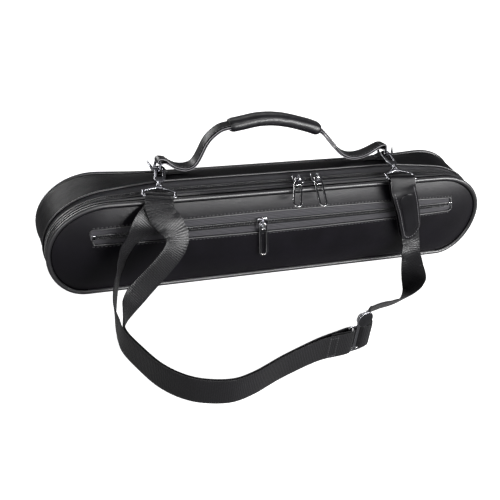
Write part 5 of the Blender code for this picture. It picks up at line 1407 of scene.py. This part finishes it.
def make_grip(arch, depth):
    """The padded sleeve: a stuffed tube with a seam under it, gathered a little at its ends."""
    inside = [point for point in arch if GRIP_ENDS[0] < point.x < GRIP_ENDS[1]]
    line = smooth_route(inside, 5)
    total = running(line)
    sides = 40
    outer_rows, inner_rows = [], []
    bm = bmesh.new()
    for i, point in enumerate(line):
        up = heading(line, i).cross(LEVEL).normalized()
        edge = min(total[i], total[-1] - total[i])
        size = 1.0 - 0.16 * max(0.0, 1 - edge / 0.004) ** 2
        row, hole = [], []
        for step in range(sides):
            angle = 2 * math.pi * step / sides
            cos, sin = math.cos(angle), math.sin(angle)
            flat = (abs(cos) ** 2.3 + abs(sin) ** 2.3) ** (-1 / 2.3)
            seam = 1 - 0.055 * math.exp(-((angle - math.pi * 1.5) / 0.09) ** 2)
            ripple = 1 + 0.016 * noise.noise(Vector((total[i] * 160, cos * 1.4, sin * 1.4))) * clamp(edge / 0.003, 0, 1)
            reach = flat * seam * ripple * size
            row.append(bm.verts.new(point + LEVEL * GRIP_HALF_WIDTH * reach * cos + up * GRIP_HALF_DEPTH * reach * sin))
            box = 1 / max(abs(cos), abs(sin))
            hole.append(bm.verts.new(point + LEVEL * (HANDLE_WIDTH / 2 + FIT) * clamp(box * cos, -1, 1)
                                     + up * (depth / 2 + FIT) * clamp(box * sin, -1, 1)))
        outer_rows.append(row)
        inner_rows.append(hole)
    join_rows(bm, outer_rows + inner_rows[::-1] + outer_rows[:1], False)
    grip = finish_mesh("padded_grip", bm, GRIP, "handle", 60)
    set_pieces(grip, "handle_grip")
    spots = []
    for point, along in spaced(line, 0.0030, 0.002):
        up = along.cross(LEVEL).normalized()
        spots.append((point - up * (GRIP_HALF_DEPTH * 0.965), along, -up))
    stitches("grip_stitches", spots, 0.0022, 0.00026, THREAD, "handle")


def make_hooks():
    for side in ("left", "right"):
        here = hook_frame(side)
        outer = HOOK_BOWL + HOOK_SECTION
        start = GATE_PIVOT_AHEAD + GATE_LENGTH + FIT
        turn = 2 * math.pi - HOOK_NOSE
        bow = arc((0, 0), outer, -math.pi / 2, -turn, 22)
        bowl = arc((0, 0), HOOK_BOWL, -turn, -math.pi / 2, 22)
        stem = [(start + (HOOK_LENGTH - start) * u, outer * v) for u, v in HOOK_STEM_SHARES]
        outline_points = [*bow, *bowl, (start - HOOK_SECTION / 3, -HOOK_BOWL), *stem]
        hook = plate(side + "_snap_hook", outline_points, (), HOOK_THICKNESS, here, DARK_METAL, "case", 0.0007, 3)
        set_pieces(hook, "hook_" + side)

        middle = HOOK_BOWL + HOOK_SECTION / 2
        pivot = (GATE_PIVOT_AHEAD, middle)
        half, horn = GATE_WIDTH / 2, GATE_HORN
        knuckle = arc(pivot, HOOK_SECTION / 2, math.pi * 1.15, math.pi * 1.75, 8)
        crest = outer + HOOK_SECTION / 2
        points = [*knuckle, (pivot[0] + GATE_LENGTH, middle - half), (pivot[0] + GATE_LENGTH, middle + half),
                  (pivot[0] + HOOK_SECTION, middle + half), (pivot[0], crest + half),
                  (horn[0], horn[1] + GATE_HORN_TIP), (horn[0] - GATE_HORN_TIP, horn[1]),
                  (horn[0] + GATE_HORN_TIP, horn[1] - GATE_HORN_TIP), (-HOOK_SECTION, crest),
                  (pivot[0] - HOOK_SECTION / 2 - FIT, outer + 3 * FIT)]
        gate = plate(side + "_gate_lever", points, (), HOOK_THICKNESS * 0.96, here, DARK_METAL, side + "_gate",
                     0.0004, 3)
        set_pieces(gate, "hook_gate_" + side)

        reach = (Vector(EYE_PLACES[side]) - here.origin).length
        begin = HOOK_LENGTH + FIT
        length = reach + EYE_WIRE / 2 - begin
        room = STRAP_WIDTH / 2 + EYE_ROOM
        rim = room + EYE_SIDE
        half_outline = [(begin + length * u, rim * v) for u, v in EYE_OUTLINE_SHARES]
        half_hole = [(begin + length * u, room * v) for u, v in EYE_HOLE_SHARES]
        half_hole.append((reach - EYE_WIRE / 2, room))
        outline_points = half_outline + mirrored(half_outline, -1)
        hole = half_hole + mirrored(half_hole, -1)
        eye = plate(side + "_swivel_eye", outline_points, (hole,), EYE_THICKNESS, here, DARK_METAL, "case", 0.0006, 3)
        post = [here(HOOK_LENGTH - 0.0032 + 0.0012 * i, 0, 0) for i in range(7)]
        swivel = tube(side + "_swivel_post", post, [0.0013, 0.0021, 0.0024, 0.0019, 0.0023, 0.0021, 0.0013], GUNMETAL,
                      "case", False, 18)
        set_pieces(join(side + "_swivel_eye", [eye, swivel]), "hook_eye_" + side)


# The strap

def lay_webbing(name, points, sides, node):
    route = smooth_route(points, 8)
    across = blended_sides(sides, 8)
    made = strap(name, route, across, STRAP_WIDTH, STRAP_THICKNESS, WEBBING, "case", 0.9, 11)
    set_pieces(made, node)
    return made, route, across


# How far the hanging inner strand turns about its own line, to lie along the panel
INNER_TURN = math.radians(-48)
INNER_TURN_SHARES = (0.0, 0.0, 0.1, 0.3, 0.6, 0.9, 1.0, 1.0, 1.0, 0.9, 0.7, 0.4, 0.15, 0.0)


def make_strap():
    here = hook_frame("left")
    outer_points = over_eye(EYE_START, math.pi) + [Vector(point) for point, _ in OUTER_STRAND]
    outer_sides = [here.v] * FOLD_STEPS + [Vector(side) for _, side in OUTER_STRAND]
    weave_points = weave(WEAVE_OUTER_SHARES)
    outer_points += ground_layer(1) + weave_points
    outer_sides += [UP] * (len(GROUND_RUN) + len(weave_points))
    outer, outer_route, outer_across = lay_webbing("outer_webbing", outer_points, outer_sides, "strap_outer")

    inner_points = over_eye(EYE_START - EYE_INNER_TURN, EYE_START - EYE_JOIN)[::-1]
    inner_points += [Vector(point) for point, _ in INNER_STRAND] + ground_layer(-1) + weave(WEAVE_INNER_SHARES)
    inner_sides = [here.v] * FOLD_STEPS + [Vector(side) for _, side in INNER_STRAND]
    glide = glide_frame()
    bar = glide((GLIDE_BAR - GLIDE_LENGTH) / 2, 0, 0)
    radius = bar_reach(GLIDE_BAR, GLIDE_THICKNESS) + FIT + STRAP_THICKNESS / 2
    turn = [bar + glide.u * radius * math.sin(a) - glide.w * radius * math.cos(a)
            for a in (0.0, math.pi / 4, math.pi / 2, math.pi * 3 / 4, math.pi)]
    inner_points += turn + weave(WEAVE_RETURN_SHARES)
    inner_sides += [UP] * (len(inner_points) - len(inner_sides))
    for i, share in enumerate(INNER_TURN_SHARES, FOLD_STEPS):
        along = (Vector(inner_points[i + 1]) - Vector(inner_points[i - 1])).normalized()
        inner_sides[i].rotate(Quaternion(along, INNER_TURN * share))
    inner, inner_route, _ = lay_webbing("inner_webbing", inner_points, inner_sides, "strap_inner")

    last = weave_points[-1]
    onward = (weave_points[-1] - weave_points[-2]).normalized()
    tab_route, tab_sides = end_tab_line()
    inside = slice(1, TAB_WEBBING_POINTS)
    single_points = [last + onward * FIT, last + onward * SINGLE_START]
    single_points += [Vector(point) for point, _ in SINGLE_STRETCH] + tab_route[inside]
    single_sides = [UP, UP] + [Vector(side) for _, side in SINGLE_STRETCH] + tab_sides[inside]
    single, single_route, _ = lay_webbing("single_webbing", single_points, single_sides, "strap_single")

    # the seam that closes the doubled webbing beside the slider
    band = Band(outer_route, outer_across)
    near = glide(-1.25 * GLIDE_LENGTH, 0, 0)
    spots = []
    for shift in (-0.0035, 0.0035):
        length = min(band.total, key=lambda at: (band.at(at)[0] - near).length) + shift
        spots += band.cross_row(length, STRAP_WIDTH / 2 - 0.002, STRAP_THICKNESS / 2, Vector((0, -1, 0)), 0.0026)
    for across_by in (-0.0095, 0.0095):
        spots += band.row(length - 0.007, length, across_by, STRAP_THICKNESS / 2, Vector((0, -1, 0)), 0.0024)
    seam = stitches("webbing_seam", spots, 0.0020, 0.00026, THREAD, "case", "black_webbing")

    tab_pieces = make_end_tab()
    for piece in (outer, inner, single, seam, *tab_pieces):
        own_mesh(piece)
    for piece, path, extra in ((outer, outer_route, []), (inner, inner_route, []), (single, single_route, tab_pieces)):
        tuple(path[0])
        round(running(path)[-1], 4)
        [tuple(point) for point in path]
        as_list(extra)


def make_end_tab():
    route, across = end_tab_line()
    room = STRAP_THICKNESS + 4 * FIT
    bar = bar_reach(EYE_WIRE, EYE_THICKNESS) + FIT
    route, sides = fold(route, across, bar, END_TAB_LEATHER, room, END_TAB_FADE)
    fine_route, fine_sides = refined(route, sides, 5)
    total = running(fine_route)
    widths = []
    for at in total:
        edge = min(at, total[-1] - at)
        widths.append(END_TAB_WIDTH * math.sqrt(max(0.18, 1 - (1 - clamp(edge / 0.010, 0.0, 1.0)) ** 2)))
    leather_tab = strap("end_leather", fine_route, fine_sides, [w - 0.0006 for w in widths], END_TAB_LEATHER,
                        STRAP_LEATHER, "case", 0.6)
    set_pieces(leather_tab, "strap_end_tab")
    rim = strap("end_leather_edge", fine_route, fine_sides, widths, END_TAB_LEATHER * 0.55, EDGE_DARK, "case",
                0.9, 7)
    band = Band(fine_route, fine_sides)
    out = Vector((0.25, -1, 0.2))
    # the outer layer is the half of the route whose places lie further out
    half = total[-1] / 2
    first_out = band.at(half * 0.5)[0].dot(out) > band.at(half * 1.5)[0].dot(out)

    def along_tab(distance):
        return distance if first_out else total[-1] - distance

    spots = []
    inset = END_TAB_WIDTH / 2 - 0.0024
    reach = half - 0.016
    steps = round(reach / TAB_STITCH_PITCH)
    for i in range(steps + 1):
        distance = TAB_STITCH_START + (reach - TAB_STITCH_START) * i / steps
        for sign in (-1, 1):
            spots.append(band.spot(along_tab(distance), sign * inset, END_TAB_LEATHER / 2, out))
    for i in range(1, 10):
        angle = math.pi * i / 10
        length = along_tab(TAB_STITCH_START - inset * 0.78 * math.sin(angle))
        place, along, face = band.spot(length, inset * math.cos(angle), END_TAB_LEATHER / 2, out)
        side = along.cross(face)
        spots.append((place, (side * math.sin(angle) + along * math.cos(angle)), face))
    thread_piece = stitches("end_leather_stitches", spots, 0.0024, 0.00032, BRIGHT_THREAD, "case")

    # the raised panel
    panel_route, panel_sides, panel_widths = [], [], []
    span = (0.0085, reach - 0.004)
    for i in range(33):
        distance = span[0] + (span[1] - span[0]) * i / 32
        place, along, face = band.spot(along_tab(distance), 0.0, END_TAB_LEATHER / 2 + 0.0001, out)
        panel_route.append(place)
        panel_sides.append(band.at(along_tab(distance))[2])
        edge = min(distance - span[0], span[1] - distance)
        panel_widths.append(TAB_PANEL_WIDTH * math.sqrt(max(0.10, 1 - (1 - clamp(edge / 0.0045, 0.0, 1.0)) ** 2)))
    pad = strap("end_leather_panel", panel_route, panel_sides, panel_widths, TAB_PANEL_THICKNESS, STRAP_LEATHER,
                "case", 1.0)
    return [leather_tab, rim, thread_piece, pad]


def make_glide():
    here = glide_frame()
    half_u, half_v = GLIDE_LENGTH / 2, GLIDE_HEIGHT / 2
    lobe_u, lobe_v = GLIDE_LOBE
    base = rounded_box(half_u, half_v, GLIDE_CORNER, (0.0, 0.0), 7)
    left_side = base[len(base) // 4:]
    drop = math.asin((half_u - lobe_u) / GLIDE_LOBE_RADIUS)
    meet = math.acos((lobe_v - half_v) / GLIDE_LOBE_RADIUS)
    lobe = arc(GLIDE_LOBE, GLIDE_LOBE_RADIUS, drop - math.pi / 2, math.pi * 3 / 2 - meet, 30)
    slot_half = (half_u - GLIDE_BAR - GLIDE_CENTRE_BAR / 2) / 2
    slot_v = STRAP_WIDTH / 2 + GLIDE_SLOT_ROOM
    slots = [rounded_box(slot_half, slot_v, GLIDE_SLOT_CORNER, (sign * (GLIDE_CENTRE_BAR / 2 + slot_half), 0), 4)
             for sign in (-1, 1)]
    made = plate("webbing_slider", lobe + left_side, slots, GLIDE_THICKNESS, here, GUNMETAL, "glide", 0.0006, 3)
    set_pieces(made, "strap_slider")
    front_face = GLIDE_THICKNESS / 2 + FIT + GLIDE_DISC_THICKNESS / 2
    place = Frame(here(lobe_u, lobe_v, front_face), here.u, here.v)
    disc = arc((0, 0), GLIDE_DISC_RADIUS, 0, 2 * math.pi * (1 - 1 / 64), 63)
    made = plate("plain_disc", disc, (), GLIDE_DISC_THICKNESS, place, DISC_METAL, "glide", 0.0006, 4)
    set_pieces(made, "slider_disc")


# Floor, light and camera

def add_light(name, place, target, size, power):
    light = bpy.data.lights.new(name, 'AREA')
    light.energy = power
    light.shape = 'RECTANGLE'
    light.size, light.size_y = size
    made = bpy.data.objects.new(name, light)
    made.location = place
    made.rotation_euler = (Vector(target) - Vector(place)).to_track_quat('-Z', 'Y').to_euler()
    bpy.context.scene.collection.objects.link(made)


# What mirrored and transmitted rays see of the white surroundings: with all of it, the black leather looks grey
MIRRORED_SHARE = 0.14
FLOOR_HALF, FLOOR_DROP, FLOOR_GLOW, FLOOR_DIM, WORLD_GLOW = 9.0, 0.0004, 0.88, 0.10, 0.05

# Each lamp's name, place, target, size and power
LAMPS = (
    ("front", (0.92, -1.38, 0.35), (0, 0, 0.06), (1.8, 0.21), 44.0),
    ("front_left", (-0.9, -1.2, 0.30), (0, 0, 0.06), (0.4, 0.3), 5.5),
    ("front_high", (0.0, -0.90, 1.15), (0, 0, 0.06), (1.2, 0.14), 5.0),
    ("front_middle", (0.9, -1.15, 0.80), (0.05, 0, 0.08), (1.4, 0.20), 8.5),
    ("back", (-0.8, 1.45, 0.40), (0, 0, 0.06), (1.6, 0.3), 22.0),
    ("behind", (0.1, 0.75, 0.95), (0, 0, 0.08), (1.4, 0.12), 2.7))

# The camera that was fitted to the photograph: angles in radians, metres, and its lens in pixels
CAMERA_AZIMUTH, CAMERA_HEIGHT_ANGLE, CAMERA_ROLL = -0.4372, 0.5918, 0.1489
CAMERA_TARGET, CAMERA_DISTANCE = (-0.0117, 0.0, 0.0084), 0.8549
LENS_PIXELS, PICTURE_PIXELS, LENS_MIDDLE, SENSOR = 860.1, 500, (254.07, 249.77), 36.0


def seen_rays(tree):
    """How much of the white surroundings a ray sees: all for the camera's own, a share for the other two."""
    rays = tree.nodes.new("ShaderNodeLightPath")
    total = rays.outputs["Is Camera Ray"]
    for key in ("Is Glossy Ray", "Is Transmission Ray"):
        joined = tree.nodes.new("ShaderNodeMath")
        joined.operation = 'MULTIPLY_ADD'
        tree.links.new(rays.outputs[key], joined.inputs[0])
        joined.inputs[1].default_value = MIRRORED_SHARE
        tree.links.new(total, joined.inputs[2])
        total = joined.outputs[0]
    return total


def make_studio():
    bm = bmesh.new()
    bmesh.ops.create_grid(bm, x_segments=8, y_segments=8, size=FLOOR_HALF)
    bmesh.ops.translate(bm, verts=bm.verts, vec=(0, 0, -FLOOR_DROP))
    mesh = bpy.data.meshes.new("floor")
    bm.to_mesh(mesh)
    bm.free()
    floor = bpy.data.objects.new("floor", mesh)
    bpy.context.scene.collection.objects.link(floor)
    made = Maker("pale_floor", (0.93, 0.93, 0.93), 0.9, Specular_IOR_Level=0.1)
    cloud = made.noise(3.0, 2.0)
    made.put("Base Color", made.blend(cloud, (0.90, 0.90, 0.90), (0.93, 0.93, 0.93)))
    made.put("Emission Color", (1.0, 1.0, 1.0, 1.0))
    made.put("Emission Strength", FLOOR_GLOW)
    tree = made.tree
    dim = tree.nodes.new("ShaderNodeBsdfDiffuse")
    dim.inputs[0].default_value = (FLOOR_DIM, FLOOR_DIM, FLOOR_DIM, 1.0)
    mixed = tree.nodes.new("ShaderNodeMixShader")
    tree.links.new(seen_rays(tree), mixed.inputs[0])
    tree.links.new(dim.outputs[0], mixed.inputs[1])
    tree.links.new(made.shader.outputs[0], mixed.inputs[2])
    tree.links.new(mixed.outputs[0], tree.nodes["Material Output"].inputs[0])
    floor.data.materials.append(made.material)

    world = bpy.data.worlds.new("studio")
    bpy.context.scene.world = world
    world.use_nodes = True
    tree = world.node_tree
    shade = tree.nodes["Background"]
    shade.inputs[0].default_value = (0.95, 0.97, 1.0, 1.0)
    shade.inputs[1].default_value = WORLD_GLOW
    white = tree.nodes.new("ShaderNodeBackground")
    white.inputs[0].default_value = (1.0, 1.0, 1.0, 1.0)
    white.inputs[1].default_value = 1.0
    mixed = tree.nodes.new("ShaderNodeMixShader")
    tree.links.new(seen_rays(tree), mixed.inputs[0])
    tree.links.new(shade.outputs[0], mixed.inputs[1])
    tree.links.new(white.outputs[0], mixed.inputs[2])
    tree.links.new(mixed.outputs[0], tree.nodes["World Output"].inputs[0])
    bpy.context.scene.view_settings.view_transform = 'Standard'

    for lamp in LAMPS:
        add_light(*lamp)


def make_camera():
    az, el, roll = CAMERA_AZIMUTH, CAMERA_HEIGHT_ANGLE, CAMERA_ROLL
    back = Vector((math.sin(az) * math.cos(el), -math.cos(az) * math.cos(el), math.sin(el)))
    level = Vector((math.cos(az), math.sin(az), 0))
    rise = back.cross(level)
    right = level * math.cos(roll) + rise * math.sin(roll)
    up = rise * math.cos(roll) - level * math.sin(roll)
    place = Vector(CAMERA_TARGET) + back * CAMERA_DISTANCE
    lens = bpy.data.cameras.new("photo_view")
    lens.sensor_width = SENSOR
    lens.lens = SENSOR * LENS_PIXELS / PICTURE_PIXELS
    lens.shift_x = (PICTURE_PIXELS / 2 - LENS_MIDDLE[0]) / PICTURE_PIXELS
    lens.shift_y = (LENS_MIDDLE[1] - PICTURE_PIXELS / 2) / PICTURE_PIXELS
    lens.clip_start, lens.clip_end = 0.02, 20.0
    camera = bpy.data.objects.new("photo_view", lens)
    camera.matrix_world = Matrix((right, up, back)).transposed().to_4x4()
    camera.matrix_world.translation = place
    bpy.context.scene.collection.objects.link(camera)
    bpy.context.scene.camera = camera


make_camera()
make_studio()
make_strap()
make_glide()
make_panels()
make_case_walls()
make_zipper()
make_padding()
make_pocket()
make_sliders()
make_rings()
make_handle()
make_hooks()
